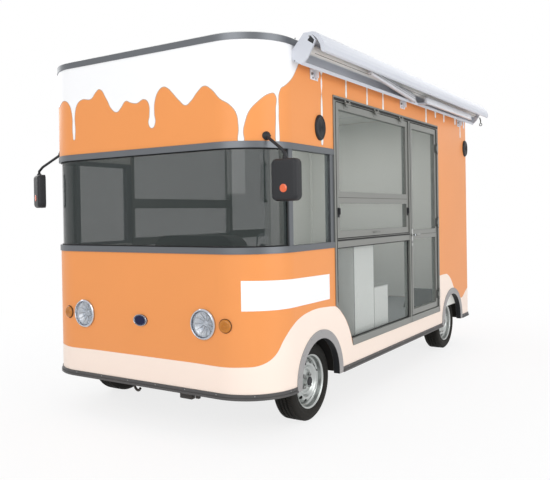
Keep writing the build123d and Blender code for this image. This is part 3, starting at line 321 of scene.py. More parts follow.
# Satin anodised aluminium: fine lines along the extrusion
ANODISED = Finish(
    "aluminium_anodised_satin", "#8b8c88", Surface.EXTRUDED, 0.7, 0.02, 0.42, metallic=0.75, tone=0.06
, slot="trim_metal")
ANODISED_BAND = Finish(
    "aluminium_anodised_band", "#6c6f73", Surface.EXTRUDED, 0.7, 0.02, 0.4, metallic=0.8, tone=0.08, dust=0.08
)
# Sill band: the same rolled strip in a much darker copy, which paints the shade low on the body so it reads
# nearly black; road dust lies on top
ANODISED_SILL_SHADED = Finish(
    "aluminium_anodised_painted_shade", "#4a4a4c", Surface.EXTRUDED, 1.6, 0.05, 0.5, metallic=0.4, tone=0.12,
    dust=0.1
)
# Darker anodised strip: the awning case's joint line, and the strips that paint the shade in the groove of
# each sash rail and awning arm
ANODISED_DARK = Finish(
    "aluminium_anodised_dark", "#5c5a57", Surface.ROLLED, 0.7, 0.02, 0.42, metallic=0.6, tone=0.05
, slot="awning_white")
# Moulded polyolefin: dull, with a pebbled grain
ARCH_PLASTIC = Finish("polyolefin_moulded_grey", "#9c9a9a", Surface.MOULDED, 1.6, 0.05, 0.55, dust=0.08)
BLACK_PLASTIC = Finish(
    "abs_moulded_black", "#1a1b1f", Surface.MOULDED, 1.2, 0.06, 0.5, ior=1.45, slot="black_plastic"
)
BLACK_RUBBER = Finish(
    "epdm_extruded_black", "#111112", Surface.EXTRUDED, 0.8, 0.03, 0.65, ior=1.45, slot="black_plastic"
)
UNDERSEAL = Finish("underseal_sprayed_black", "#101011", Surface.CAST, 5.0, 0.6, 0.9, ior=1.4, dust=0.05)
CHASSIS_PAINT = Finish(
    "chassis_paint_black", "#161617", Surface.CAST, 3.0, 0.1, 0.55, dust=0.06, slot="chassis_black"
)
# Float glass with a tint, seen against what is behind it; its dark, mostly opaque colour paints the shade of
# the cabin behind the windscreen
SCREEN_GLASS = Finish(
    "float_glass_tinted_painted_shade", "#172423", Surface.POLISHED, 300.0, 0.0, 0.03, alpha=0.65, tone=0.2
)
PANE_GLASS = Finish("float_glass_clear", "#97a29f", Surface.POLISHED, 300.0, 0.0, 0.03, alpha=0.15, tone=0.1)
LENS_CLEAR = Finish(
    "polycarbonate_moulded_clear", "#eef3f8", Surface.POLISHED, 60.0, 0.02, 0.05, alpha=0.12, slot="lamp_lens"
)
CHROME = Finish(
    "chrome_plated", "#c3c6cc", Surface.POLISHED, 80.0, 0.0, 0.1, metallic=1.0, tone=0.05, slot="lamp_chrome"
)
# Aluminised bowl; the dark bands in what it mirrors are painted reflection, drawn as dark tubes laid across
# the bowl
REFLECTOR = Finish(
    "aluminised_bowl", "#a3adbd", Surface.ROLLED, 9.0, 4.0, 0.12, metallic=1.0, tone=0.4, slot="lamp_chrome"
)
# Opal acrylic diffuser: milky, even
LENS_FROSTED = Finish(
    "acrylic_opal_white", "#f1f2ef", Surface.SPRAYED, 8.0, 0.02, 0.35, tone=0.01, slot="lamp_lens"
)
AMBER_LENS = Finish(
    "acrylic_moulded_amber", "#b8700f", Surface.POLISHED, 60.0, 0.02, 0.24, coat=0.15, slot="lamp_amber"
)
RED_LENS = Finish(
    "acrylic_moulded_red", "#a5161a", Surface.POLISHED, 60.0, 0.02, 0.18, coat=0.6, slot="lamp_red"
)
REFLEX_ORANGE = Finish(
    "acrylic_reflex_orange", "#e2602c", Surface.MOULDED, 3.0, 0.2, 0.25, coat=0.5, slot="lamp_amber"
)
ENAMEL_BLUE = Finish("enamel_fired_blue", "#0b1540", Surface.POLISHED, 90.0, 0.01, 0.2, ior=1.3, tone=0.1)
# Vulcanised tyre rubber with a little road dust
TYRE_RUBBER = Finish(
    "tyre_rubber", "#101110", Surface.CAST, 2.0, 0.12, 0.8, ior=1.35, tone=0.12, dust=0.03, slot="tyre"
)
# Aluminium-coloured lacquer on pressed steel
RIM_LACQUER = Finish(
    "steel_lacquered_silver", "#b9bdbb", Surface.SPRAYED, 3.0, 0.03, 0.3, metallic=0.75, tone=0.06, dust=0.04
, slot="rim_silver")
ZINC = Finish(
    "steel_zinc_plated", "#8f9090", Surface.ROLLED, 1.0, 0.03, 0.35, metallic=1.0, dust=0.08,
    slot="trim_metal"
)
SPRING_STEEL = Finish(
    "spring_steel_rolled", "#3a3a3c", Surface.EXTRUDED, 2.0, 0.1, 0.5, metallic=0.6, dust=0.12
)
CAST_STEEL = Finish(
    "steel_cast_dark", "#3d3d3e", Surface.CAST, 2.5, 0.25, 0.6, metallic=0.5, dust=0.12, slot="cast_steel"
)
MOTOR_CAST = Finish(
    "aluminium_cast_motor", "#84868a", Surface.CAST, 2.0, 0.15, 0.5, metallic=0.7, dust=0.1,
    slot="motor_metal"
)
BATTERY_PAINT = Finish(
    "powder_coat_battery", "#3b3e42", Surface.CAST, 1.5, 0.08, 0.5, dust=0.1, slot="battery_case"
)
# Polyester powder coat: even, with a fine texture. Two copies of the same white coat: the darker one holds
# down the brightly lit case and front bar, a painted shade; the lighter one lifts the arms, joints and
# brackets in the case's shadow, a painted light
POWDER_WHITE = Finish(
    "powder_coat_white", "#cdd0d7", Surface.CAST, 1.5, 0.03, 0.42, ior=1.4, tone=0.02, slot="awning_white"
)
POWDER_WHITE_PAINTED_LIGHT = Finish(
    "powder_coat_white_painted_light", "#dedfe3", Surface.CAST, 1.5, 0.03, 0.42, ior=1.4, tone=0.03, slot="awning_white"
)
# Glass-fibre lining board: smooth and pale
LINING = Finish(
    "glass_fibre_lining_white", "#e8e8e2", Surface.SPRAYED, 12.0, 0.05, 0.4, ior=1.4, tone=0.02,
    slot="cabinet_white"
)
AWNING_CLOTH = Finish(
    "acrylic_woven_white", "#e6e4df", Surface.WOVEN, 2.5, 0.3, 0.85, sheen=0.3, slot="awning_fabric"
)
DASH_PLASTIC = Finish(
    "polypropylene_moulded_grey", "#8f8f8a", Surface.MOULDED, 1.5, 0.08, 0.55, slot="dash_grey"
)
DASH_DARK = Finish("polypropylene_moulded_dark", "#3c3d3e", Surface.MOULDED, 1.5, 0.08, 0.5, slot="dash_grey")
SEAT_VINYL = Finish(
    "vinyl_grained_black", "#2d2d30", Surface.MOULDED, 2.2, 0.15, 0.42, sheen=0.1, slot="seat_vinyl"
)
CABINET_COAT = Finish(
    "powder_coat_cabinet", "#e4e5e0", Surface.CAST, 1.5, 0.03, 0.38, tone=0.03, slot="cabinet_white"
)
STAINLESS = Finish(
    "stainless_brushed", "#b9bab8", Surface.EXTRUDED, 0.6, 0.02, 0.32, metallic=1.0, tone=0.05,
    slot="counter_steel"
)
FLOOR_SHEET = Finish("pvc_sheet_pebbled", "#77797b", Surface.MOULDED, 5.0, 0.3, 0.55, tone=0.08)
MIRROR_GLASS = Finish(
    "mirror_silvered", "#e3e7ea", Surface.POLISHED, 200.0, 0.0, 0.03, metallic=1.0, slot="black_plastic"
)


class Draft:
    """One piece in the making: a bmesh, the finish it gets and the body that it rides on."""

    started: list["Draft"] = []

    def __init__(self, name: str, finish: Finish, body: str = "body", slot: str = "") -> None:
        """Start an empty piece.

        Args:
            name: The piece's name.
            finish: Its finish.
            body: The CAD body that it moves with.
            slot: The record's material slot, where it isn't the finish's own.
        """
        self.name = name
        self.finish = finish
        self.body = body
        self.slot = slot or finish.slot
        self.bm = bmesh.new()
        Draft.started.append(self)

    def placed(self, verts: Iterable, place: Matrix) -> None:
        """Put new vertices in place."""
        bmesh.ops.transform(self.bm, matrix=place, verts=list(verts))

    def rounded(self, edges: Iterable, offset: float, segments: int = 2) -> None:
        """Round edges off."""
        bmesh.ops.bevel(
            self.bm, geom=list(edges), offset=offset, offset_type="OFFSET", affect="EDGES",
            segments=segments, profile=0.5, material=-1, clamp_overlap=True
        )

    def block(
        self, low: Row, high: Row, round_off: float = 0.0, segments: int = 2, place: Matrix = Matrix()
    ) -> "Draft":
        """Add a box between two corners, with rounded edges.

        Args:
            low: Its lowest corner.
            high: Its highest corner.
            round_off: The radius of its edges.
            segments: Steps in each rounded edge.
            place: Where the corners' own frame stands.

        Returns:
            This draft, as every method that adds a form does.
        """
        made = bmesh.ops.create_cube(self.bm, size=1.0)["verts"]
        bmesh.ops.scale(self.bm, vec=Vector(high) - Vector(low), verts=made)
        self.placed(made, place @ Matrix.Translation((Vector(high) + Vector(low)) / 2))
        if round_off:
            self.rounded({edge for vert in made for edge in vert.link_edges}, round_off, segments)
        return self

    def lathe(self, rows: Rows, place: Matrix = Matrix(), steps: int = 48, closed: bool = False) -> "Draft":
        """Turn an outline about local Z.

        Args:
            rows: Radius and height of each point; a radius of 0 closes the form on its axis.
            place: Where the local frame stands.
            steps: Steps round the turn.
            closed: Whether the outline's last point joins its first, as in a ring.

        Returns:
            This draft.
        """
        before = set(self.bm.faces)
        verts = [self.bm.verts.new((radius, 0, height)) for radius, height in rows]
        pairs = [*zip(verts, verts[1:])] + ([(verts[-1], verts[0])] if closed else [])
        edges = [self.bm.edges.new(pair) for pair in pairs]
        bmesh.ops.spin(
            self.bm, geom=verts + edges, cent=(0, 0, 0), axis=(0, 0, 1), angle=math.tau, steps=steps,
            use_merge=True
        )
        verts = list({vert for face in self.bm.faces if face not in before for vert in face.verts})
        bmesh.ops.remove_doubles(self.bm, verts=verts, dist=WELD)
        faces = [face for face in self.bm.faces if face not in before]
        bmesh.ops.recalc_face_normals(self.bm, faces=faces)
        self.placed({vert for face in faces for vert in face.verts}, place)
        return self

    def disc(
        self, radius: float, low: float, high: float, place: Matrix, round_off: float = 0.0, steps: int = 32
    ) -> "Draft":
        """Add a cylinder along local Z, with rounded rims.

        Args:
            radius: Its radius.
            low: Where it starts on local Z.
            high: Where it ends on local Z.
            place: Where the local frame stands.
            round_off: The radius of its rims.
            steps: Steps round it.

        Returns:
            This draft.
        """
        edge = min(round_off, radius / 2, (high - low) / 2)
        rim = [
            (radius, low + edge), (radius, high - edge), (radius - edge, high)
        ] if edge else [(radius, high)]
        return self.lathe([(0, low), (radius - edge, low), *rim, (0, high)], place, steps)

    def ring(self, radius: float, thick: float, place: Matrix, steps: int = 48, sides: int = 8) -> "Draft":
        """Add a round ring about local Z.

        Args:
            radius: From the axis to the middle of the section.
            thick: The section's radius.
            place: Where the local frame stands.
            steps: Steps round the ring.
            sides: Sides of its section.

        Returns:
            This draft.
        """
        turns = [math.tau * side / sides for side in range(sides)]
        rows = [(radius + thick * math.cos(turn), thick * math.sin(turn)) for turn in turns]
        return self.lathe(rows, place, steps, closed=True)

    def border(
        self, low: Row, high: Row, width: float, depth: float, place: Matrix, round_off: float = 0.0
    ) -> "Draft":
        """Add a flat rectangular border with an open middle, in the local XY plane.

        Args:
            low: The lowest outer corner, as X and Y.
            high: The highest outer corner, as X and Y.
            width: How wide each side is.
            depth: How thick it is, up local Z.
            place: Where the local frame stands.
            round_off: The radius of its edges.

        Returns:
            This draft.
        """
        flat = bmesh.new()
        corners = (low, (high[0], low[1]), high, (low[0], high[1]))
        # Known fault: without face.normal_update() before the inset the border comes out with no area
        face = flat.faces.new([flat.verts.new((*corner, 0)) for corner in corners])
        bmesh.ops.inset_region(flat, faces=[face], thickness=width, use_boundary=True, use_even_offset=True)
        bmesh.ops.delete(flat, geom=[face], context="FACES")
        flat.normal_update()
        for face in flat.faces:
            if face.normal.z < 0:
                face.normal_flip()
        bmesh.ops.solidify(flat, geom=flat.faces[:], thickness=-depth)
        bmesh.ops.recalc_face_normals(flat, faces=flat.faces[:])
        mesh = bpy.data.meshes.new("border")
        flat.to_mesh(mesh)
        flat.free()
        verts = self._joined(mesh)
        self.placed(verts, place)
        if round_off:
            faces = {face for vert in verts for face in vert.link_faces}
            self.rounded(
                {edge for face in faces for edge in face.edges if edge.calc_face_angle(0) > 1}, round_off
            )
        return self

    def tube(self, points: Rows, radius: float, sides: int = 5) -> "Draft":
        """Add a round bar with closed ends along a smooth line.

        Args:
            points: Where the line goes.
            radius: The bar's radius.
            sides: Quarter steps of its section.

        Returns:
            This draft.
        """
        curve = bpy.data.curves.new("line", "CURVE")
        curve.dimensions = "3D"
        curve.bevel_depth = radius
        curve.bevel_resolution = sides
        curve.use_fill_caps = True
        line = curve.splines.new("BEZIER")
        line.bezier_points.add(len(points) - 1)
        for knot, point in zip(line.bezier_points, points):
            knot.co = point
            knot.handle_left_type = knot.handle_right_type = "AUTO"
        return self.take(curve)

    def take(self, curve: bpy.types.Curve) -> "Draft":
        """Add a curve's mesh, welded where its walls meet, and remove the curve."""
        holder = bpy.data.objects.new("holder", curve)
        before = set(self.bm.verts)
        verts = self._joined(bpy.data.meshes.new_from_object(holder))
        bmesh.ops.remove_doubles(self.bm, verts=verts, dist=WELD)
        faces = list({face for vert in self.bm.verts if vert not in before for face in vert.link_faces})
        bmesh.ops.recalc_face_normals(self.bm, faces=faces)
        bpy.data.objects.remove(holder)
        bpy.data.curves.remove(curve)
        return self

    def _joined(self, mesh: bpy.types.Mesh) -> list:
        """Add a mesh, remove it and give its new vertices."""
        before = set(self.bm.verts)
        self.bm.from_mesh(mesh)
        bpy.data.meshes.remove(mesh)
        return [vert for vert in self.bm.verts if vert not in before]

    def strip(self, points: Iterable[Row], reach: Row) -> None:
        """Draw a line of points out to an open strip.

        Args:
            points: The line's points.
            reach: How far and which way it is drawn out.
        """
        rail = [self.bm.verts.new(point) for point in points]
        edges = [self.bm.edges.new(pair) for pair in zip(rail, rail[1:])]
        raised = bmesh.ops.extrude_edge_only(self.bm, edges=edges)["geom"]
        bmesh.ops.translate(self.bm, verts=only(bmesh.types.BMVert, raised), vec=reach)
        self.bm.normal_update()

    def walled(self, thickness: float) -> None:
        """Give open faces a wall and point its normals outwards."""
        bmesh.ops.solidify(self.bm, geom=self.bm.faces[:], thickness=thickness)
        bmesh.ops.recalc_face_normals(self.bm, faces=self.bm.faces[:])

    def cut(self, cutter: "Draft") -> None:
        """Cut another draft's solid out of this one, which uses it up."""
        Draft.started.remove(cutter)
        meshes = [bpy.data.meshes.new(draft.name) for draft in (self, cutter)]
        self.bm.to_mesh(meshes[0])
        cutter.bm.to_mesh(meshes[1])
        cutter.bm.free()
        body, knife = (bpy.data.objects.new(mesh.name, mesh) for mesh in meshes)
        for item in (body, knife):
            bpy.context.scene.collection.objects.link(item)
        boolean = body.modifiers.new("cut", "BOOLEAN")
        boolean.operation = "DIFFERENCE"
        boolean.solver = "EXACT"
        boolean.object = knife
        graph = bpy.context.evaluated_depsgraph_get()
        made = bpy.data.meshes.new_from_object(body.evaluated_get(graph))
        self.bm.clear()
        self._joined(made)
        for item in (body, knife):
            bpy.data.objects.remove(item)
        for mesh in meshes:
            bpy.data.meshes.remove(mesh)

    def mirrored(self, flip: bool = False) -> "Draft":
        """Add the same on the vehicle's other side, or only flip the piece over to that side."""
        geom = self.bm.verts[:] + self.bm.edges[:] + self.bm.faces[:]
        copies = geom if flip else bmesh.ops.duplicate(self.bm, geom=geom)["geom"]
        bmesh.ops.scale(self.bm, vec=(-1, 1, 1), verts=only(bmesh.types.BMVert, copies))
        bmesh.ops.reverse_faces(self.bm, faces=only(bmesh.types.BMFace, copies))
        return self

    def done(self, *replaced: str) -> bpy.types.Object:
        """Finish the piece.

        Args:
            replaced: CAD nodes that it stands for.

        Returns:
            The object, which rides on its body.
        """
        Draft.started.remove(self)
        mesh = bpy.data.meshes.new(self.name)
        self.bm.to_mesh(mesh)
        self.bm.free()
        made = bpy.data.objects.new(self.name, mesh)
        bpy.context.scene.collection.objects.link(made)
        for face in mesh.polygons:
            face.use_smooth = True
        mesh.set_sharp_from_angle(angle=SMOOTH_ANGLE)
        mesh.materials.append(self.finish.material())
        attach(made, self.body)
        if replaced:
            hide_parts(*replaced)
        log.info("%s: %d faces on %s", self.name, len(mesh.polygons), self.body)
        return made

    @classmethod
    def finish_all(cls) -> None:
        """Finish every piece that was started and isn't done yet."""
        for draft in cls.started[:]:
            draft.done()


def only(kind: type, geometry: Iterable) -> list:
    """The elements of one kind among mixed bmesh geometry."""
    return [item for item in geometry if isinstance(item, kind)]


def facing(point: Row, normal: Row, up: Row = (0, 0, 1)) -> Matrix:
    """A local frame whose Z points along a normal and whose Y is as near to up as it can be.

    Args:
        point: Where the frame stands.
        normal: Its local Z.
        up: What its local Y leans to.

    Returns:
        The frame.
    """
    out = Vector(normal).normalized()
    across = Vector(up).cross(out).normalized()
    matrix = Matrix((across, out.cross(across), out)).transposed().to_4x4()
    matrix.translation = Vector(point)
    return matrix


def raised(height: float) -> Matrix:
    """A shift up local Z."""
    return Matrix.Translation((0, 0, height))


def turned(angle: float) -> Matrix:
    """A turn about local Z, in degrees."""
    return Matrix.Rotation(math.radians(angle), 4, "Z")


def skin(run: float) -> tuple[Vector, Vector]:
    """Where the body's outline is, so far round from the middle of the nose.

    Args:
        run: Length along the skin in metres, positive towards the left side.

    Returns:
        The place at height 0 and the outward direction.
    """
    hand = 1 if run >= 0 else -1
    left = abs(run)
    flat = SIDE - FRONT_RADIUS
    quarter = math.pi / 2
    side_length = TAIL - REAR_RADIUS - NOSE - FRONT_RADIUS
    spans = (flat, FRONT_RADIUS * quarter, side_length, REAR_RADIUS * quarter)
    if left <= spans[0]:
        place, out = (left, NOSE), (0, -1)
    elif left <= sum(spans[:2]):
        turn = (left - flat) / FRONT_RADIUS
        out = (math.sin(turn), -math.cos(turn))
        place = (flat + FRONT_RADIUS * out[0], NOSE + FRONT_RADIUS * (1 + out[1]))
    elif left <= sum(spans[:3]):
        place, out = (SIDE, NOSE + FRONT_RADIUS + left - sum(spans[:2])), (1, 0)
    elif left <= sum(spans):
        turn = (left - sum(spans[:3])) / REAR_RADIUS
        out = (math.cos(turn), math.sin(turn))
        place = (SIDE - REAR_RADIUS * (1 - out[0]), TAIL - REAR_RADIUS * (1 - out[1]))
    else:
        place, out = (SIDE - REAR_RADIUS - left + sum(spans), TAIL), (0, 1)
    return Vector((hand * place[0], place[1], 0)), Vector((hand * out[0], out[1], 0))


def on_skin(run: float, height: float, proud: float = 0.0) -> Matrix:
    """A local frame on the skin, its Z pointing out of the body."""
    place, out = skin(run)
    return facing(place + out * proud + Vector((0, 0, height)), out)


@dataclass
class Studio:
    """Camera at the photograph's place, plain floor, soft lights and a white background."""

    eye: Vector = Vector((3.049, -5.109, 1.343))
    yaw: float = 32.51
    pitch: float = 0.52
    roll: float = -0.95
    lens: float = 44.23
    shift: float = -20 / 550
    floor_size: float = 40.0
    floor_colour: str = "#ffffff"
    sky: float = 0.62
    cabin_power: float = 9.0

    def build(self) -> None:
        """Build the whole studio."""
        self.camera()
        self.world()
        self.floor()
        self.lights()
        bpy.context.scene.view_settings.view_transform = "Standard"

    def camera(self) -> None:
        """Set the camera where the photograph was taken."""
        yaw, pitch, roll = (math.radians(turn) for turn in (self.yaw, self.pitch, self.roll))
        view = Vector((-math.sin(yaw) * math.cos(pitch), math.cos(yaw) * math.cos(pitch), -math.sin(pitch)))
        right = Vector((math.cos(yaw), math.sin(yaw), 0))
        up = right.cross(view)
        side = math.cos(roll) * right + math.sin(roll) * up
        top = math.cos(roll) * up - math.sin(roll) * right
        data = bpy.data.cameras.new("camera")
        data.lens = self.lens
        data.sensor_width = 36
        data.shift_y = self.shift
        data.clip_end = 100
        camera = bpy.data.objects.new("camera", data)
        place = Matrix((side, top, -view)).transposed().to_4x4()
        place.translation = self.eye
        camera.matrix_world = place
        bpy.context.scene.collection.objects.link(camera)
        bpy.context.scene.camera = camera

    def _seen(self, tree: Tree) -> Socket:
        """Add a value of 1 for camera, glossy and transmission rays."""
        path = add_node(tree, "ShaderNodeLightPath")
        total = path.outputs["Is Camera Ray"]
        for kind in ("Is Glossy Ray", "Is Transmission Ray"):
            total = add_node(
                tree, "ShaderNodeMath", {}, {0: total, 1: path.outputs[kind]}, operation="ADD", use_clamp=True
            ).outputs[0]
        return total

    def world(self) -> None:
        """Light everything softly and show white behind."""
        world = bpy.data.worlds.new("studio")
        bpy.context.scene.world = world
        world.use_nodes = True
        tree = world.node_tree
        tree.nodes.clear()
        soft = add_node(tree, "ShaderNodeBackground", {"Color": linear("#f4f6fa"), "Strength": self.sky})
        white = add_node(tree, "ShaderNodeBackground", {"Color": linear("#ffffff"), "Strength": 1.0})
        both = add_node(
            tree, "ShaderNodeMixShader", {}, {0: self._seen(tree), 1: soft.outputs[0], 2: white.outputs[0]}
        )
        add_node(tree, "ShaderNodeOutputWorld", {}, {"Surface": both.outputs[0]})

    def floor(self) -> None:
        """Lay a pale floor that keeps the shadow and fades to white."""
        bm = bmesh.new()
        bmesh.ops.create_grid(bm, x_segments=1, y_segments=1, size=self.floor_size / 2)
        mesh = bpy.data.meshes.new("studio_floor")
        bm.to_mesh(mesh)
        bm.free()
        floor = bpy.data.objects.new("studio_floor", mesh)
        bpy.context.scene.collection.objects.link(floor)
        made = bpy.data.materials.new("floor_painted_white")
        made.use_nodes = True
        tree = made.node_tree
        tree.nodes.clear()
        matt = add_node(
            tree, "ShaderNodeBsdfPrincipled", {"Base Color": linear(self.floor_colour), "Roughness": 0.9}
        )
        white = add_node(tree, "ShaderNodeEmission", {"Color": linear("#ffffff"), "Strength": 1.0})
        place = add_node(tree, "ShaderNodeTexCoord").outputs["Object"]
        reach = add_node(tree, "ShaderNodeVectorMath", {}, {0: place}, operation="LENGTH")
        fade = add_node(
            tree, "ShaderNodeMapRange", {"From Min": 2.0, "From Max": 5.5, "To Min": 0.8, "To Max": 1.0},
            {"Value": reach.outputs["Value"]}, interpolation_type="SMOOTHSTEP"
        )
        share = add_node(
            tree, "ShaderNodeMath", {}, {0: self._seen(tree), 1: fade.outputs[0]}, operation="MULTIPLY"
        )
        both = add_node(
            tree, "ShaderNodeMixShader", {}, {0: share.outputs[0], 1: matt.outputs[0], 2: white.outputs[0]}
        )
        add_node(tree, "ShaderNodeOutputMaterial", {}, {"Surface": both.outputs[0]})
        mesh.materials.append(made)

    def lights(self) -> None:
        """Hang large soft lamps in front, over the service side and behind."""
        lamps = (
            ("front", (1.5, -7.5, 4.0), 5.0, 158.0), ("service_side", (7.5, -1.5, 2.8), 5.0, 168.0),
            ("far_side", (-7.0, 0.0, 5.0), 5.0, 150.0), ("rear", (0.0, 8.0, 5.0), 5.0, 150.0)
        )
        for name, place, size, power in lamps:
            data = bpy.data.lights.new(name, "AREA")
            data.shape = "SQUARE"
            data.size = size
            data.energy = power
            lamp = bpy.data.objects.new(name, data)
            lamp.location = place
            lamp.rotation_euler = (Vector(place) - Vector((0, 0, 1))).to_track_quat("Z", "Y").to_euler()
            bpy.context.scene.collection.objects.link(lamp)
        self.cabin_light()

    def cabin_light(self) -> None:
        """Light the cabin from its ceiling, where the studio lamps don't reach."""
        for along in (-0.9, 0.7):
            data = bpy.data.lights.new("cabin", "AREA")
            data.shape = "RECTANGLE"
            data.size = 1.5
            data.size_y = 1.3
            data.energy = self.cabin_power
            lamp = bpy.data.objects.new("cabin", data)
            lamp.location = (0, along, 2.3)
            lamp.visible_camera = False
            lamp.visible_glossy = False
            bpy.context.scene.collection.objects.link(lamp)


@dataclass
class Finishing:
    """Gives every CAD node its finish."""

    frame: dict

    FINISHES = (
        (ORANGE_PAINT, "front_shell_lower front_shell_upper side_panels rear_wall"), (WHITE_PAINT,
        "roof_panel"), (ANODISED_BAND, "roof_trim screen_frame"), (ANODISED_SILL_SHADED, "sill_trim"), (ANODISED,
        "side_frame_left side_frame_right hatch_frame door_frame"), (ARCH_PLASTIC, "arch_trims"),
        (SCREEN_GLASS, "windscreen"), (PANE_GLASS, "fixed_glass hatch_glass door_glass"), (UNDERSEAL,
        "wheel_housings"), (FLOOR_SHEET, "floor_deck"), (CHASSIS_PAINT,
        "chassis_rails chassis_members tow_eyes seat_base"), (SPRING_STEEL, "leaf_springs"), (BATTERY_PAINT,
        "battery_box"), (CAST_STEEL, "front_axle rear_axle knuckle_left knuckle_right tie_rod"), (MOTOR_CAST,
        "drive_motor"), (CHROME, "headlamp_bezels"), (LENS_CLEAR, "headlamp_lenses"), (AMBER_LENS,
        "indicator_lamps"), (ENAMEL_BLUE, "front_badge"), (RED_LENS, "tail_lamps"), (BLACK_PLASTIC,
        "speakers mirror_arms mirror_heads steering_wheel"), (POWDER_WHITE, "awning_front_bar awning_case"),
        (POWDER_WHITE_PAINTED_LIGHT, "awning_arms"), (AWNING_CLOTH, "awning_roller"), (DASH_PLASTIC, "dashboard"),
        (SEAT_VINYL, "driver_seat"), (CABINET_COAT, "cabinets"), (STAINLESS, "service_counter"), (TYRE_RUBBER,
        "tyre_front_left tyre_front_right tyre_rear_left tyre_rear_right"), (RIM_LACQUER,
        "rim_front_left rim_front_right rim_rear_left rim_rear_right")
    )

    def build(self) -> None:
        """Assign the finishes."""
        for finish, names in self.FINISHES:
            for name in names.split():
                node = self.frame["nodes"][name]
                slots = node.data.materials
                for place in range(max(1, len(slots))):
                    if place < len(slots):
                        slots[place] = finish.material()
                    else:
                        slots.append(finish.material())
                log.info("%s: %s", name, finish.name)


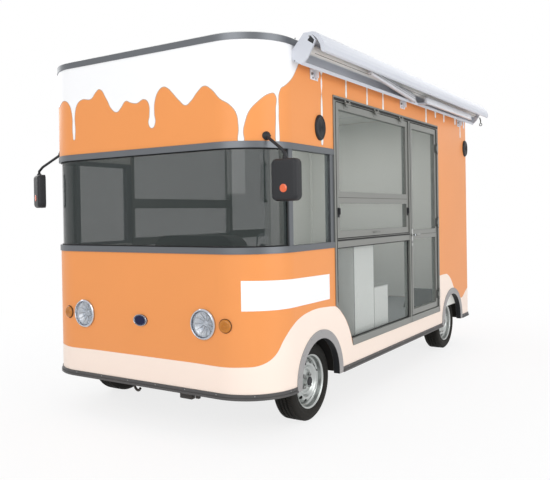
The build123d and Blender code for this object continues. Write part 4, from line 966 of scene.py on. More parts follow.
@dataclass
class Livery:
    """Thin printed film on the body: white run-down icing, cream band and the blank sign."""

    thickness: float = 0.0004
    edge: float = 0.004
    bend_step: float = 0.02
    top: float = ROOF_LOW + 0.004
    front_arch: float = 1.457
    rear_arch: float = 4.133
    arch_radius: float = ARCH_TRIM_RADIUS - 0.004
    band_low: float = SILL_TRIM_TOP - 0.004

    # Edge of the icing round the nose: length along the skin and height
    NOSE_EDGE = (
        (-0.93, 2.165), (-0.8, 2.12), (-0.69, 2.15), (-0.634, 2.122), (-0.604, 2.05), (-0.597, 1.9), (-0.588,
        1.872), (-0.579, 1.9), (-0.575, 2.06), (-0.55, 2.115), (-0.503, 2.139), (-0.416, 2.135), (-0.37,
        2.175), (-0.335, 2.19), (-0.27, 2.12), (-0.22, 2.045), (-0.176, 2.024), (-0.14, 2.05), (-0.098,
        2.087), (-0.05, 2.072), (0.002, 2.064), (0.06, 2.083), (0.098, 2.06), (0.108, 1.97), (0.1, 1.925),
        (0.127, 1.895), (0.152, 1.925), (0.146, 1.98), (0.152, 2.06), (0.189, 2.126), (0.225, 2.142), (0.262,
        2.13), (0.296, 2.101), (0.358, 2.04), (0.402, 2.011), (0.44, 2.03), (0.492, 2.08), (0.544, 2.111),
        (0.6, 2.085), (0.661, 2.023), (0.721, 1.985), (0.761, 1.933), (0.774, 1.85), (0.778, 1.752), (0.793,
        1.752), (0.797, 1.83), (0.808, 1.879), (0.833, 1.943), (0.891, 2.005), (0.96, 2.05), (0.995, 2.051),
        (1.003, 1.95), (1.005, 1.752), (1.017, 1.752), (1.02, 1.95), (1.036, 2.082), (1.075, 2.108), (1.12,
        2.14), (1.165, 2.18), (1.205, 2.23), (1.24, 2.268)
    )
    # Thin runs down the side: middle along the skin, lowest point and half width
    SIDE_RUNS = (
        (1.36, 2.17, 0.022), (1.52, 1.786, 0.011), (1.7, 2.2, 0.02), (1.878, 2.14, 0.009), (2.05, 2.19, 0.02),
        (2.223, 2.125, 0.009), (2.516, 2.12, 0.009), (2.8, 2.19, 0.025), (3.1, 2.2, 0.02), (3.471, 2.155,
        0.009), (3.7, 2.19, 0.022), (3.935, 2.05, 0.01), (4.2, 2.18, 0.024), (4.46, 2.084, 0.01), (4.62, 2.17,
        0.014)
    )
    SIDE_EDGE = 2.245
    SERVICE_EDGE = 2.27
    # The service side has only the thin runs, because the awning hides the edge itself
    SERVICE_RUNS = (
        (1.52, 1.786, 0.010), (1.878, 2.14, 0.008), (2.223, 2.125, 0.008), (2.516, 2.12, 0.009), (2.9, 2.222,
        0.02), (3.471, 2.13, 0.012), (3.72, 2.205, 0.016), (3.96, 2.19, 0.014), (4.3, 2.2, 0.02), (4.46,
        2.084, 0.009), (4.58, 2.19, 0.016), (4.66, 2.04, 0.007)
    )
    TAIL_END = 4.69
    # Upper edge of the cream band
    FRONT_BAND = (
        (-0.38, 0.45), (0.0, 0.45), (0.38, 0.45), (0.76, 0.45), (0.886, 0.463), (0.968, 0.508), (1.042,
        0.605), (1.11, 0.665), (1.199, 0.704), (1.32, 0.727), (1.428, 0.733), (1.54, 0.728), (1.62, 0.722)
    )
    REAR_BAND = (
        (3.762, 0.742), (3.9, 0.743), (4.0, 0.735), (4.1, 0.68), (4.18, 0.6), (4.227, 0.55), (4.31, 0.49),
        (4.38, 0.468), (4.451, 0.465), (4.55, 0.51), (4.69, 0.57)
    )
    SIGN = ((0.77, 0.778), (1.59, 0.775), (1.59, 0.94), (0.77, 0.956))

    def build(self) -> None:
        """Lay every film."""
        self.icing()
        self.bands()
        self.sign()

    def outline(self, rounded: Rows, square: Rows = ()) -> bpy.types.Curve:
        """Draw a closed flat outline.

        Args:
            rounded: Points that the line passes smoothly.
            square: Points with straight lines between, after the rounded ones.

        Returns:
            The filled curve.
        """
        curve = bpy.data.curves.new("outline", "CURVE")
        curve.dimensions = "2D"
        curve.fill_mode = "BOTH"
        curve.resolution_u = 6
        line = curve.splines.new("BEZIER")
        line.bezier_points.add(len(rounded) + len(square) - 1)
        line.use_cyclic_u = True
        for place, (knot, point) in enumerate(zip(line.bezier_points, (*rounded, *square))):
            knot.co = (*point, 0)
            kind = "AUTO" if 0 < place < len(rounded) - 1 else "VECTOR"
            knot.handle_left_type = knot.handle_right_type = kind
        return curve

    def film(
        self, name: str, finish: Finish, outlines: Iterable[bpy.types.Curve], layer: int = 1,
        spread: float = 0.0
    ) -> bpy.types.Object:
        """Cut a film from flat outlines and wrap it round the body.

        Args:
            name: The piece's name.
            finish: The film's finish.
            outlines: Filled curves, flat on length along the skin and height.
            layer: 0 for a film under another one, 1 for a film on top.
            spread: How far the outline is moved outwards.

        Returns:
            The film.
        """
        draft = Draft(name, finish)
        for curve in outlines:
            curve.offset = spread
            draft.take(curve)
        bm = draft.bm
        ends = [vert.co.x for vert in bm.verts]
        steps = int((max(ends) - min(ends)) / self.bend_step)
        for step in range(1, steps + 1):
            bmesh.ops.bisect_plane(
                bm, geom=bm.verts[:] + bm.edges[:] + bm.faces[:], dist=1e-6,
                plane_co=(min(ends) + step * self.bend_step, 0, 0), plane_no=(1, 0, 0)
            )
        for face in bm.faces:
            face.normal_update()
            if face.normal.z < 0:
                face.normal_flip()
        for vert in bm.verts:
            vert.co = on_skin(vert.co.x, vert.co.y, (layer + 1) * self.thickness).translation
        bm.normal_update()
        bmesh.ops.solidify(bm, geom=bm.faces[:], thickness=self.thickness)
        return draft.done()

    def icing(self) -> None:
        """White film from the roof trim down to its run-down edge, on nose and sides."""
        left = self._runs(self.SERVICE_RUNS, self.SERVICE_EDGE)
        far = [(-run, height) for run, height in self._runs(self.SIDE_RUNS, self.SIDE_EDGE)[::-1]]
        corner = [(-run, height) for run, height in self.NOSE_EDGE[::-1] if run > 0.93]
        rounded = far + corner + list(self.NOSE_EDGE) + left
        square = ((self.TAIL_END, self.top), (-self.TAIL_END, self.top))
        self.film("icing_film", WHITE_FILM, [self.outline(rounded, square)])
        self.film("icing_shadow_print", INK_GREY, [self.outline(rounded, square)], 0, self.edge)

    def _runs(self, runs: Rows, edge: float) -> list[Pair]:
        """The edge's points round each thin run, up to the tail.

        Args:
            runs: Middle along the skin, lowest point and half width of each run.
            edge: Height of the edge between the runs.

        Returns:
            Points on length along the skin and height.
        """
        points = []
        for run, low, half in runs:
            points += [
                (run - 2.4 * half, edge), (run - half, (edge + low) / 2), (run - half, low + half), (run,
                low), (run + half, low + half), (run + half, (edge + low) / 2), (run + 2.4 * half, edge)
            ]
        return [*points, (self.TAIL_END, edge)]

    def arch(self, middle: float) -> list[Pair]:
        """The film's cut round one wheel arch, from its front foot to its rear one.

        Args:
            middle: Where the wheel stands along the skin.

        Returns:
            Points on length along the skin and height.
        """
        foot = math.asin((self.band_low - ARCH_Z) / self.arch_radius)
        steps = 28
        turns = [foot + (math.pi - 2 * foot) * step / steps for step in range(steps + 1)]
        return [
            (middle + self.arch_radius * math.cos(turn), ARCH_Z + self.arch_radius * math.sin(turn))
            for turn in turns
        ]

    def bands(self) -> None:
        """Cream film above the sill trim, with its rounded hills over the wheels."""
        hill = [
            (self.front_arch + 0.482 * math.cos(turn), ARCH_Z + 0.482 * math.sin(turn))
            for turn in (math.radians(step) for step in (62, 50, 37, 25, 17))
        ]
        low = FRAME_LOW - 0.003
        rounded = [*self.FRONT_BAND, *hill]
        far = [(-run, height) for run, height in rounded[::-1] if run > 0.5]
        front = self.outline(
            [(-1.93, low), *far, *rounded, (1.93, low)], ((2.8, low), (2.8, self.band_low),
            *self.arch(self.front_arch), *((-run, height) for run,
            height in self.arch(self.front_arch)[::-1]), (-2.8, self.band_low), (-2.8, low))
        )
        tails = [
            self.outline([(hand * run, height) for run, height in self.REAR_BAND], [(hand * run,
            height) for run, height in ((self.TAIL_END, self.band_low), *self.arch(self.rear_arch), (2.8,
            self.band_low), (2.8, low), (3.758, low))]) for hand in (1, -1)
        ]
        self.film("cream_band_film", CREAM_FILM, [front, *tails])

    def sign(self) -> None:
        """Blank white sign on each side of the nose."""
        for hand, side, start in ((1, "left", 0.0), (-1, "right", 1.02)):
            points = [(hand * max(run, start), height) for run, height in self.SIGN]
            self.film(f"blank_sign_{side}", WHITE_FILM, [self.outline(points[:1], points[1:])])


@dataclass
class Wheels:
    """Tyres with road tread, the hub caps, nuts and valves of the four wheels, and the drums of the front
    ones.
    """

    track: float = 0.807
    tread_floor: float = 0.2462
    groove_floor: float = 0.2425
    tread_depth: float = 0.005
    groove: float = 0.0035
    blocks: int = 84
    slant: float = 1.5
    stud_circle: float = 0.05
    studs: int = 4
    valve_foot: float = 0.022

    PLACES = (
        ("front_left", 1, FRONT_AXLE), ("front_right", -1, FRONT_AXLE), ("rear_left", 1, REAR_AXLE),
        ("rear_right", -1, REAR_AXLE)
    )
    # Radius and height of each turned form's outline, the height outwards from the wheel's middle
    SIDEWALL = (
        (0.169, 0.058), (0.175, 0.0655), (0.183, 0.0715), (0.19, 0.0742), (0.1925, 0.0754), (0.195, 0.0742),
        (0.207, 0.0768), (0.2095, 0.0774), (0.212, 0.0766), (0.224, 0.0752), (0.233, 0.0722), (0.24, 0.0678),
        (0.2445, 0.0625)
    )
    RIBS = ((0.031, 0.0585), (0.0035, 0.023))
    HUB_CAP = (
        (0, 0.0608), (0.0262, 0.0608), (0.0262, 0.0597), (0.0296, 0.0597), (0.0296, 0.0622), (0.0265, 0.065),
        (0.019, 0.0662), (0.0175, 0.065), (0.006, 0.0654), (0, 0.0654)
    )
    NUT = (
        (0, 0.0332), (0.015, 0.0332), (0.015, 0.0352), (0.0125, 0.036), (0.0125, 0.047), (0.0095, 0.0495),
        (0, 0.0495)
    )
    VALVE = (
        (0, -0.004), (0.0065, -0.004), (0.005, 0.006), (0.0042, 0.018), (0.0048, 0.019), (0.0048, 0.028),
        (0, 0.029)
    )
    # Drum with a flange out to the rim's barrel: a dark plate behind the vents that paints the shade inside
    # the wheel
    DRUM_AND_SHADE_PLATE = (
        (0.04, 0.0225), (0.116, 0.0225), (0.125, 0.0205), (0.127, 0.016), (0.127, 0.0), (0.1435, -0.001),
        (0.1435, -0.003), (0.127, -0.003), (0.121, -0.02), (0.121, 0.0145), (0.116, 0.0175), (0.04, 0.0175)
    )

    def build(self) -> None:
        """Build the four wheels' own pieces."""
        for name, hand, axle in self.PLACES:
            place = facing((hand * self.track, axle, WHEEL_Z), (hand, 0, 0))
            self.tyre(name, place)
            self.fittings(name, place)
            if axle == FRONT_AXLE:
                # Front drum, its flange a dark plate that paints the shade behind the rim's vents
                drum = Draft(f"brake_drum_{name}", CAST_STEEL, f"wheel_{name}")
                drum.lathe(self.DRUM_AND_SHADE_PLATE, place, 72, closed=True)

    def tyre(self, name: str, place: Matrix) -> None:
        """Turn one tyre: bead, ribbed sidewalls, grooved tread and its blocks.

        Args:
            name: Which wheel.
            place: The wheel's frame, its Z outwards.
        """
        crown = self.tread_floor + 0.0006
        tread = (
            (self.tread_floor, 0.0585), (crown, 0.031), (self.groove_floor, 0.0295),
            (self.groove_floor, 0.0245), (crown, 0.023), (crown, 0.0035), (self.groove_floor, 0.0025)
        )
        half = [*self.SIDEWALL, *tread]
        draft = Draft(f"tyre_{name}_tread", TYRE_RUBBER, f"wheel_{name}")
        draft.lathe(half + [(out, -height) for out, height in half[::-1]], steps=self.blocks, closed=True)
        treads = []
        for face in draft.bm.faces:
            middle = face.calc_center_median()
            on_rib = any(low < abs(middle.z) < high for low, high in self.RIBS)
            if on_rib and middle.xy.length >= self.tread_floor - 0.003:
                treads.append(face)
        bmesh.ops.inset_individual(
            draft.bm, faces=treads, thickness=self.groove / 2, depth=0.0, use_even_offset=True
        )
        for face in bmesh.ops.extrude_discrete_faces(draft.bm, faces=treads)["faces"]:
            out = Vector((*face.calc_center_median().xy, 0)).normalized()
            bmesh.ops.translate(draft.bm, verts=list(face.verts), vec=out * self.tread_depth)
        for vert in draft.bm.verts:
            if vert.co.xy.length > self.groove_floor - 0.0001:
                vert.co = Matrix.Rotation(self.slant * abs(vert.co.z), 3, "Z") @ vert.co
        draft.placed(draft.bm.verts, place)
        bmesh.ops.recalc_face_normals(draft.bm, faces=draft.bm.faces[:])
        draft.done(f"tyre_{name}")

    def fittings(self, name: str, place: Matrix) -> None:
        """Fit the black hub cap, the wheel nuts and the valve.

        Args:
            name: Which wheel.
            place: The wheel's frame, its Z outwards.
        """
        body = f"wheel_{name}"
        Draft(f"hub_cap_{name}", BLACK_PLASTIC, body, "rim_silver").lathe(self.HUB_CAP, place)
        nuts = Draft(f"wheel_nuts_{name}", ZINC, body, "rim_silver")
        for stud in range(self.studs):
            turn = turned(360 * (stud + 0.5) / self.studs)
            seat = place @ turn @ Matrix.Translation((self.stud_circle, 0, 0))
            nuts.lathe(self.NUT, seat, 6).disc(0.005, 0.04, 0.054, seat, 0.001, 12)
        seat = place @ turned(20) @ facing((0.141, 0, self.valve_foot), (-0.35, 0, 1), BACK)
        Draft(f"tyre_valve_{name}", BLACK_RUBBER, body, "rim_silver").lathe(self.VALVE, seat, 16)


@dataclass
class Lamps:
    """Reflectors, bulbs, lens flutes and rims of the nose and tail lamps, and the badge's rim."""

    lamp_x: float = 0.51
    lamp_z: float = 0.69
    lens_face: float = 0.012
    lens_half: float = 0.072
    flutes: int = 15
    # Count of dark tubes of painted reflection in each headlamp bowl
    painted_streaks: int = 11
    indicator_run: float = 0.67
    badge_z: float = 0.679

    BOWL = (
        (0, -0.0285), (0.03, -0.027), (0.055, -0.019), (0.07, -0.009), (0.0765, 0.0005), (0.0785, 0.0005),
        (0.0785, -0.0015), (0.072, -0.012), (0.057, -0.0225), (0.031, -0.0305), (0, -0.0315)
    )
    # Path of each dark tube of painted reflection across the bowl
    PAINTED_STREAK = ((0.018, -0.0255), (0.036, -0.024), (0.055, -0.0175), (0.0705, -0.0075))
    BULB = (
        (0, -0.028), (0.014, -0.028), (0.014, -0.022), (0.009, -0.02), (0.009, -0.008), (0.006, -0.0035),
        (0, -0.002)
    )
    # Radius and height of the rings moulded on the round lenses
    INDICATOR_RINGS = ((0.028, 0.0135), (0.02, 0.0155), (0.011, 0.0165))
    TAIL_RINGS = ((0.034, 0.0128), (0.026, 0.0146), (0.018, 0.0156), (0.009, 0.0162))

    def build(self) -> None:
        """Build the lamps' inner and outer detail."""
        for hand, side in ((1, "left"), (-1, "right")):
            self.headlamp(side, facing((hand * self.lamp_x, NOSE, self.lamp_z), FORWARD))
            seat = on_skin(hand * self.indicator_run, self.lamp_z)
            lens = Draft(f"indicator_lens_{side}", AMBER_LENS)
            for radius, height in self.INDICATOR_RINGS:
                lens.ring(radius, 0.0018, seat @ raised(height), 40, 6)
            Draft(f"indicator_seat_{side}", BLACK_RUBBER).ring(0.0405, 0.0028, seat @ raised(0.002), 40, 6)
            for place, height in (("upper", 0.88), ("lower", 0.76)):
                seat = facing((hand * 0.78, TAIL, height), BACK)
                lens = Draft(f"tail_lamp_rings_{side}_{place}", RED_LENS)
                for radius, rise in self.TAIL_RINGS:
                    lens.ring(radius, 0.0016, seat @ raised(rise), 40, 6)
                base = Draft(f"tail_lamp_seat_{side}_{place}", BLACK_RUBBER)
                base.ring(0.0462, 0.003, seat @ raised(0.0025), 40, 6)
        self.badge()

    def headlamp(self, side: str, seat: Matrix) -> None:
        """Fit a reflector bowl, a bulb with its shield, and the fluted lens.

        Args:
            side: Left or right.
            seat: The lamp's frame on the nose, its Z forwards.
        """
        Draft(f"headlamp_reflector_{side}", REFLECTOR).lathe(self.BOWL, seat, 64)
        Draft(f"headlamp_bulb_{side}", CHROME).lathe(self.BULB, seat, 24)
        Draft(f"headlamp_rim_{side}", CHROME).ring(0.0845, 0.0028, seat @ raised(0.0145), 72)
        # Dark tubes across the bowl: painted reflection, the dark streaks that the bowl mirrors
        painted_streaks = Draft(f"headlamp_painted_streaks_{side}", DASH_DARK, slot="lamp_chrome")
        for step in range(self.painted_streaks):
            turn = seat @ turned(360 * (step + 0.5) / self.painted_streaks)
            painted_streaks.tube([turn @ Vector((out, 0, height)) for out, height in self.PAINTED_STREAK], 0.0028, 2)
        lens = Draft(f"headlamp_flutes_{side}", LENS_CLEAR)
        step = 2 * self.lens_half / self.flutes
        for flute in range(self.flutes):
            across = (flute + 0.5) * step - self.lens_half
            half = math.sqrt((self.lens_half + 0.002) ** 2 - across**2)
            line = [seat @ Vector((across, height, self.lens_face)) for height in (-half, 0, half)]
            lens.tube(line, step * 0.36, 2)
        screws = Draft(f"headlamp_screws_{side}", ZINC, slot="lamp_chrome")
        for turn in (90, 210, 330):
            spot = turned(turn) @ Matrix.Translation((0.0905, 0, 0.0085))
            screws.disc(0.0026, 0.0, 0.0045, seat @ spot, 0.0012, 12)

    def badge(self) -> None:
        """Set a bright double rim on the blank oval badge."""
        oval = facing((0, NOSE, self.badge_z), FORWARD) @ Matrix.Diagonal((1, 37 / 58, 1, 1))
        rim = Draft("badge_rim", CHROME).ring(0.0555, 0.0024, oval @ raised(0.0078), 64)
        rim.ring(0.047, 0.0009, oval @ raised(0.0083), 64, 6)


@dataclass
class GlazingTrim:
    """Gaskets, profile lips, seals, hinge leaves, latches, lock and screws of the glass frames."""

    glass_face: float = 0.9354
    frame_face: float = 0.956
    sash_face: float = 0.95
    seal_face: float = 0.9555
    bar: float = 0.034
    foot: float = 0.05
    sash_bar: float = 0.046
    mullion: Pair = (0.271, 0.311)
    transom: Pair = (1.106, 1.165)
    gasket: float = 0.008
    screen_end: float = 1.098
    quarter: Pair = (-1.61, -1.127)
    screen_rows: Pair = (1.149, 1.731)

    # Span along the van, rise and rail of each moving sash
    SASHES = {
        "hatch": ((-1.037, 0.265), (1.171, 2.093), (1.408, 1.487)),
        "door": ((0.317, 0.968), (0.467, 2.093), (1.108, 1.186))
    }
    HINGE_HEIGHTS = (0.58, 1.24, 1.92)
    HATCH_HINGES = (-0.877, -0.386, 0.105)

    def build(self) -> None:
        """Build everything that trims the glass."""
        self.frame_lips()
        self.seal_and_shadow_strips()
        self.pane_gaskets()
        self.under_gasket()
        self.sash_lips()
        self.screen_gaskets()
        self.hinge_leaves()
        self.hatch_latch()
        self.door_lock()
        self.hatch_struts()
        self.frame_screws()

    def _border(self, draft: Draft, span: Pair, rise: Pair, width: float, low: float, high: float) -> None:
        """Add an upright border on the service side.

        Args:
            draft: The piece that it is added to.
            span: Its front and rear edges.
            rise: Its lowest and highest edges.
            width: Width of its sides.
            low: X of its inner face.
            high: X of its outer face.
        """
        plane = facing((low, 0, 0), LEFT)
        draft.border((span[0], rise[0]), (span[1], rise[1]), width, high - low, plane)

    def frame_lips(self) -> None:
        """Raise a fine lip round each frame and along both sides of its bars."""
        lip, proud = 0.0035, 0.0022
        draft = Draft("frame_profile_lips", ANODISED)
        front, rear, low, high = FRAME_FRONT, FRAME_REAR, FRAME_LOW, FRAME_HIGH
        head, foot = high - self.bar, low + self.foot
        first, last = front + self.bar, rear - self.bar
        post, jamb = self.mullion
        rows = (
            (front, rear, high - lip, high), (front, rear, head, head + lip),
            (front, front + lip, 0.735, high), (first - lip, first, 0.72, head),
            (rear - lip, rear, low, high), (last, last + lip, foot, head), (post, post + lip, low, head),
            (jamb - lip, jamb, low, head), (first, post, self.transom[0], self.transom[0] + lip),
            (first, post, self.transom[1] - lip, self.transom[1]), (-0.8, rear, low, low + lip),
            (-0.83, rear, foot - lip, foot)
        )
        for start, stop, bottom, top in rows:
            corner = (self.frame_face + proud, stop, top)
            draft.block((self.frame_face - 0.001, start, bottom), corner, 0.0008, 1)
        draft.mirrored()

    def seal_and_shadow_strips(self) -> None:
        """Lay black strips over the head and the transom and in the gaps beside the sashes: rubber seals that
        also paint the shadow line along the head and the shade in the gaps.
        """
        first, (post, jamb) = FRAME_FRONT + self.bar, self.mullion
        rows = (
            (FRAME_FRONT + 0.006, FRAME_REAR - 0.006, 2.1025, 2.121, 0.003),
            (first, post, 1.1495, 1.161, 0.003), (first - 0.0075, first - 0.001, 0.74, 2.092, 0.0025),
            (post + 0.001, post + 0.0075, 0.46, 2.092, 0.0025),
            (jamb - 0.0055, jamb + 0.001, 0.46, 2.092, 0.0025), (0.969, 0.9755, 0.46, 2.092, 0.0025)
        )
        seals = Draft("frame_seal_and_shadow_strips", BLACK_RUBBER)
        for start, stop, bottom, top, proud in rows:
            seals.block((self.seal_face, start, bottom), (self.seal_face + proud, stop, top), 0.001, 1)
        seals.mirrored()

    def _panes(self, body: str) -> list[tuple[Pair, Pair]]:
        """The lower and the upper opening of a moving sash, each as its span and its rise."""
        (front, rear), (bottom, top), (low, high) = self.SASHES[body]
        span = (front + self.sash_bar, rear - self.sash_bar)
        return [(span, (bottom + self.sash_bar, low)), (span, (high, top - self.sash_bar))]

    def pane_gaskets(self) -> None:
        """Run a black gasket round every pane."""
        bay, door = (FRAME_FRONT + self.bar, self.mullion[0]), (self.mullion[1], FRAME_REAR - self.bar)
        head, foot = FRAME_HIGH - self.bar, FRAME_LOW + self.foot
        rails = {body: sash[2] for body, sash in self.SASHES.items()}
        far = (
            (bay, (self.transom[1], rails["hatch"][0])), (bay, (rails["hatch"][1], head)),
            (door, (foot, rails["door"][0])), (door, (rails["door"][1], head))
        )
        panes = {
            "fixed": ("body", [(self.quarter, self.screen_rows)]), "far": ("body", far),
            "hatch": ("hatch", self._panes("hatch")), "door": ("door", self._panes("door"))
        }
        for name, (body, openings) in panes.items():
            draft = Draft(f"{name}_pane_gaskets", BLACK_RUBBER, body)
            for span, rise in openings:
                self._border(draft, span, rise, self.gasket, self.glass_face, self.glass_face + 0.004)
            if body == "body":
                draft.mirrored(flip=name == "far")

    def under_gasket(self) -> None:
        """Run the gasket of the pane under the hatch, whose front corner follows the hill."""
        radius, steps = 0.486, 12
        front, rear, foot = FRAME_FRONT + self.bar, self.mullion[0], FRAME_LOW + self.foot
        start = math.asin((foot - ARCH_Z) / radius)
        stop = math.acos((front - FRONT_ARCH) / radius)
        turns = [start + (stop - start) * step / steps for step in range(steps + 1)]
        hill = [(FRONT_ARCH + radius * math.cos(turn), ARCH_Z + radius * math.sin(turn)) for turn in turns]
        outline = [(front, self.transom[0]), (rear, self.transom[0]), (rear, foot), *hill]
        draft = Draft("under_pane_gaskets", BLACK_RUBBER)
        face = draft.bm.faces.new([draft.bm.verts.new((*point, 0)) for point in outline])
        face.normal_update()
        if face.normal.z < 0:
            face.normal_flip()
        bmesh.ops.inset_region(
            draft.bm, faces=[face], thickness=self.gasket, use_boundary=True, use_even_offset=True
        )
        bmesh.ops.delete(draft.bm, geom=[face], context="FACES")
        draft.bm.normal_update()
        draft.walled(-0.004)
        draft.placed(draft.bm.verts, facing((self.glass_face + 0.0005, 0, 0), LEFT))
        draft.mirrored()

    def sash_lips(self) -> None:
        """Give the hatch and the door their rolled edges, and a dark strip along each rail that paints the
        shade of its groove.
        """
        lip, face = 0.005, self.sash_face
        for body, (span, rise, rail) in self.SASHES.items():
            draft = Draft(f"{body}_sash_lips", ANODISED, body)
            grown = [tuple((a - lip, b + lip) for a, b in pane) for pane in self._panes(body)]
            for edges, heights in ((span, rise), *grown):
                self._border(draft, edges, heights, lip, face - 0.001, face + 0.0025)
            # A dark strip along the rail: painted shade of its groove
            middle, inset = (rail[0] + rail[1]) / 2, self.sash_bar - 0.02
            Draft(f"{body}_rail_groove_shade", ANODISED_DARK, body, "trim_metal").block(
                (face - 0.001, span[0] + inset, middle - 0.0022),
                (face + 0.0006, span[1] - inset, middle + 0.0022)
            )
        seal = Draft("hatch_weather_seals", BLACK_RUBBER)
        for low, high, out in (
            (self.transom[1] - 0.0005, self.transom[1] + 0.0045, 0.951), (2.0945, 2.0995, 0.949)
        ):
            seal.block((0.925, FRAME_FRONT + self.bar, low), (out, self.mullion[0], high), 0.001)

    def screen_gaskets(self) -> None:
        """Bed the bent windscreen in a black gasket along the rails and the posts."""
        draft = Draft("windscreen_gaskets", BLACK_RUBBER)
        steps, low, rise = 60, self.screen_rows[0], 0.582
        lines = [
            [(self.screen_end * (2 * step / steps - 1), height + inwards) for step in range(steps + 1)]
            for height, inwards in zip(self.screen_rows, (0.0035, -0.0035))
        ]
        lines += [
            [(hand * (self.screen_end - 0.004), low + share * rise) for share in (0.005, 0.5, 0.995)]
            for hand in (-1, 1)
        ]
        for line in lines:
            draft.tube([on_skin(run, height, -0.0125).translation for run, height in line], 0.0045, 1)

    def hinge_leaves(self) -> None:
        """Screw leaves beside the hinge knuckles, black on the frame and the door and anodised on the hatch.
        """
        fixed = Draft("hinge_leaves_fixed", BLACK_PLASTIC)
        screws = Draft("hinge_screws_fixed", ZINC)
        for height in self.HINGE_HEIGHTS:
            fixed.block((self.seal_face, 0.981, height - 0.05), (0.9585, 1.003, height + 0.05), 0.001)
            for step in (-0.034, 0.034):
                screws.disc(0.0045, 0, 0.0018, facing((0.9582, 0.992, height + step), LEFT), 0.0008, 16)
        # Leaf from place - half to place + half, its ends across the knuckle, and its screws' line
        upright = (self.HINGE_HEIGHTS, 0.036, (0.934, 0.9585), 0.946, BLACK_PLASTIC)
        level = (self.HATCH_HINGES, 0.036, (2.0595, 2.083), 2.071, ANODISED)
        for body, (places, half, (near, away), line, finish) in (("door", upright), ("hatch", level)):
            leaf = Draft(f"{body}_hinge_leaves", finish, body, "trim_metal")
            heads = Draft(f"{body}_hinge_screws", ZINC, body)
            turned = body == "hatch"
            for place in places:
                low, high = (near, place - half), (away, place + half)
                spots = [(line, place + step) for step in (-0.024, 0.024)]
                if turned:
                    low, high, spots = low[::-1], high[::-1], [spot[::-1] for spot in spots]
                leaf.block((0.9495, *low), (0.953, *high), 0.001)
                for spot in spots:
                    heads.disc(0.0042, 0, 0.0018, facing((0.9528, *spot), LEFT), 0.0008, 16)

    def hatch_latch(self) -> None:
        """Fit the black latches on the hatch's rear and front stiles, and its pull."""
        draft = Draft("hatch_latches", BLACK_PLASTIC, "hatch")
        for along in (0.243, -1.013):
            draft.block((0.9495, along - 0.011, 1.312), (0.955, along + 0.011, 1.378), 0.002)
            draft.block((0.954, along - 0.006, 1.33), (0.9655, along + 0.006, 1.3745), 0.003, 3)
        rows = ((0.9505, -0.45), (0.9605, -0.44), (0.9635, -0.386), (0.9605, -0.332), (0.9505, -0.322))
        Draft("hatch_pull", ANODISED, "hatch").tube([(*row, 1.194) for row in rows], 0.0045, 3)

    def door_lock(self) -> None:
        """Back the door's lever with a long plate, a rose and a lock cylinder."""
        plate = Draft("door_lock_plate", STAINLESS, "door", "trim_metal")
        plate.block((0.9495, 0.323, 1.055), (0.953, 0.357, 1.195), 0.0015, 3)
        rose = [(0, 0), (0.0155, 0), (0.0155, 0.004), (0.0125, 0.0075), (0, 0.0075)]
        plate.lathe(rose, facing((0.9525, 0.34, 1.147), LEFT), 32)
        seat = facing((0.9525, 0.34, 1.085), LEFT)
        barrel = Draft("door_lock_barrel", ZINC, "door").disc(0.0095, 0, 0.0045, seat, 0.001, 24)
        barrel.block((-0.001, -0.0045, 0.0042), (0.001, 0.0045, 0.0052), place=seat)
        end = Draft("door_lever_end", CHROME, "door", "trim_metal")
        for along, out in ((0.393, 1), (0.303, -1)):
            seat = facing((0.992, along - out * 0.0005, 1.147), (0, out, 0))
            end.lathe([(0, 0), (0.0088, 0), (0.0088, 0.004), (0.005, 0.0075), (0, 0.008)], seat, 24)

    def hatch_struts(self) -> None:
        """Fit the ball studs that the hatch's gas struts clip on."""
        fixed = Draft("strut_stud_body", ZINC)
        moving = Draft("strut_stud_hatch", ZINC, "hatch")
        ball = (
            (0, 0), (0.008, 0), (0.008, 0.002), (0.003, 0.004), (0.003, 0.008), (0.005, 0.0105),
            (0.005, 0.0135), (0.003, 0.016), (0, 0.0165)
        )
        for along, out in ((-1.037, 1), (0.265, -1)):
            fixed.disc(0.005, 0, 0.0045, facing((0.918, along - out * 0.0062, 1.62), (0, out, 0)), 0.001, 16)
            moving.lathe(ball, facing((0.9145, along + out * 0.023, 1.86), RIGHT), 16)

    def frame_screws(self) -> None:
        """Set countersunk screws along the frames' feet and heads."""
        draft = Draft("frame_screws", ZINC)
        spots = [(FRAME_HIGH - 0.0355, -1.04 + 0.2 * step) for step in range(11)]
        spots += [(FRAME_LOW + 0.022, -0.76 + 0.2 * step) for step in range(9)]
        for height, along in spots:
            draft.disc(0.0042, 0, 0.0016, facing((self.seal_face, along, height), LEFT), 0.0007, 12)
        draft.mirrored()


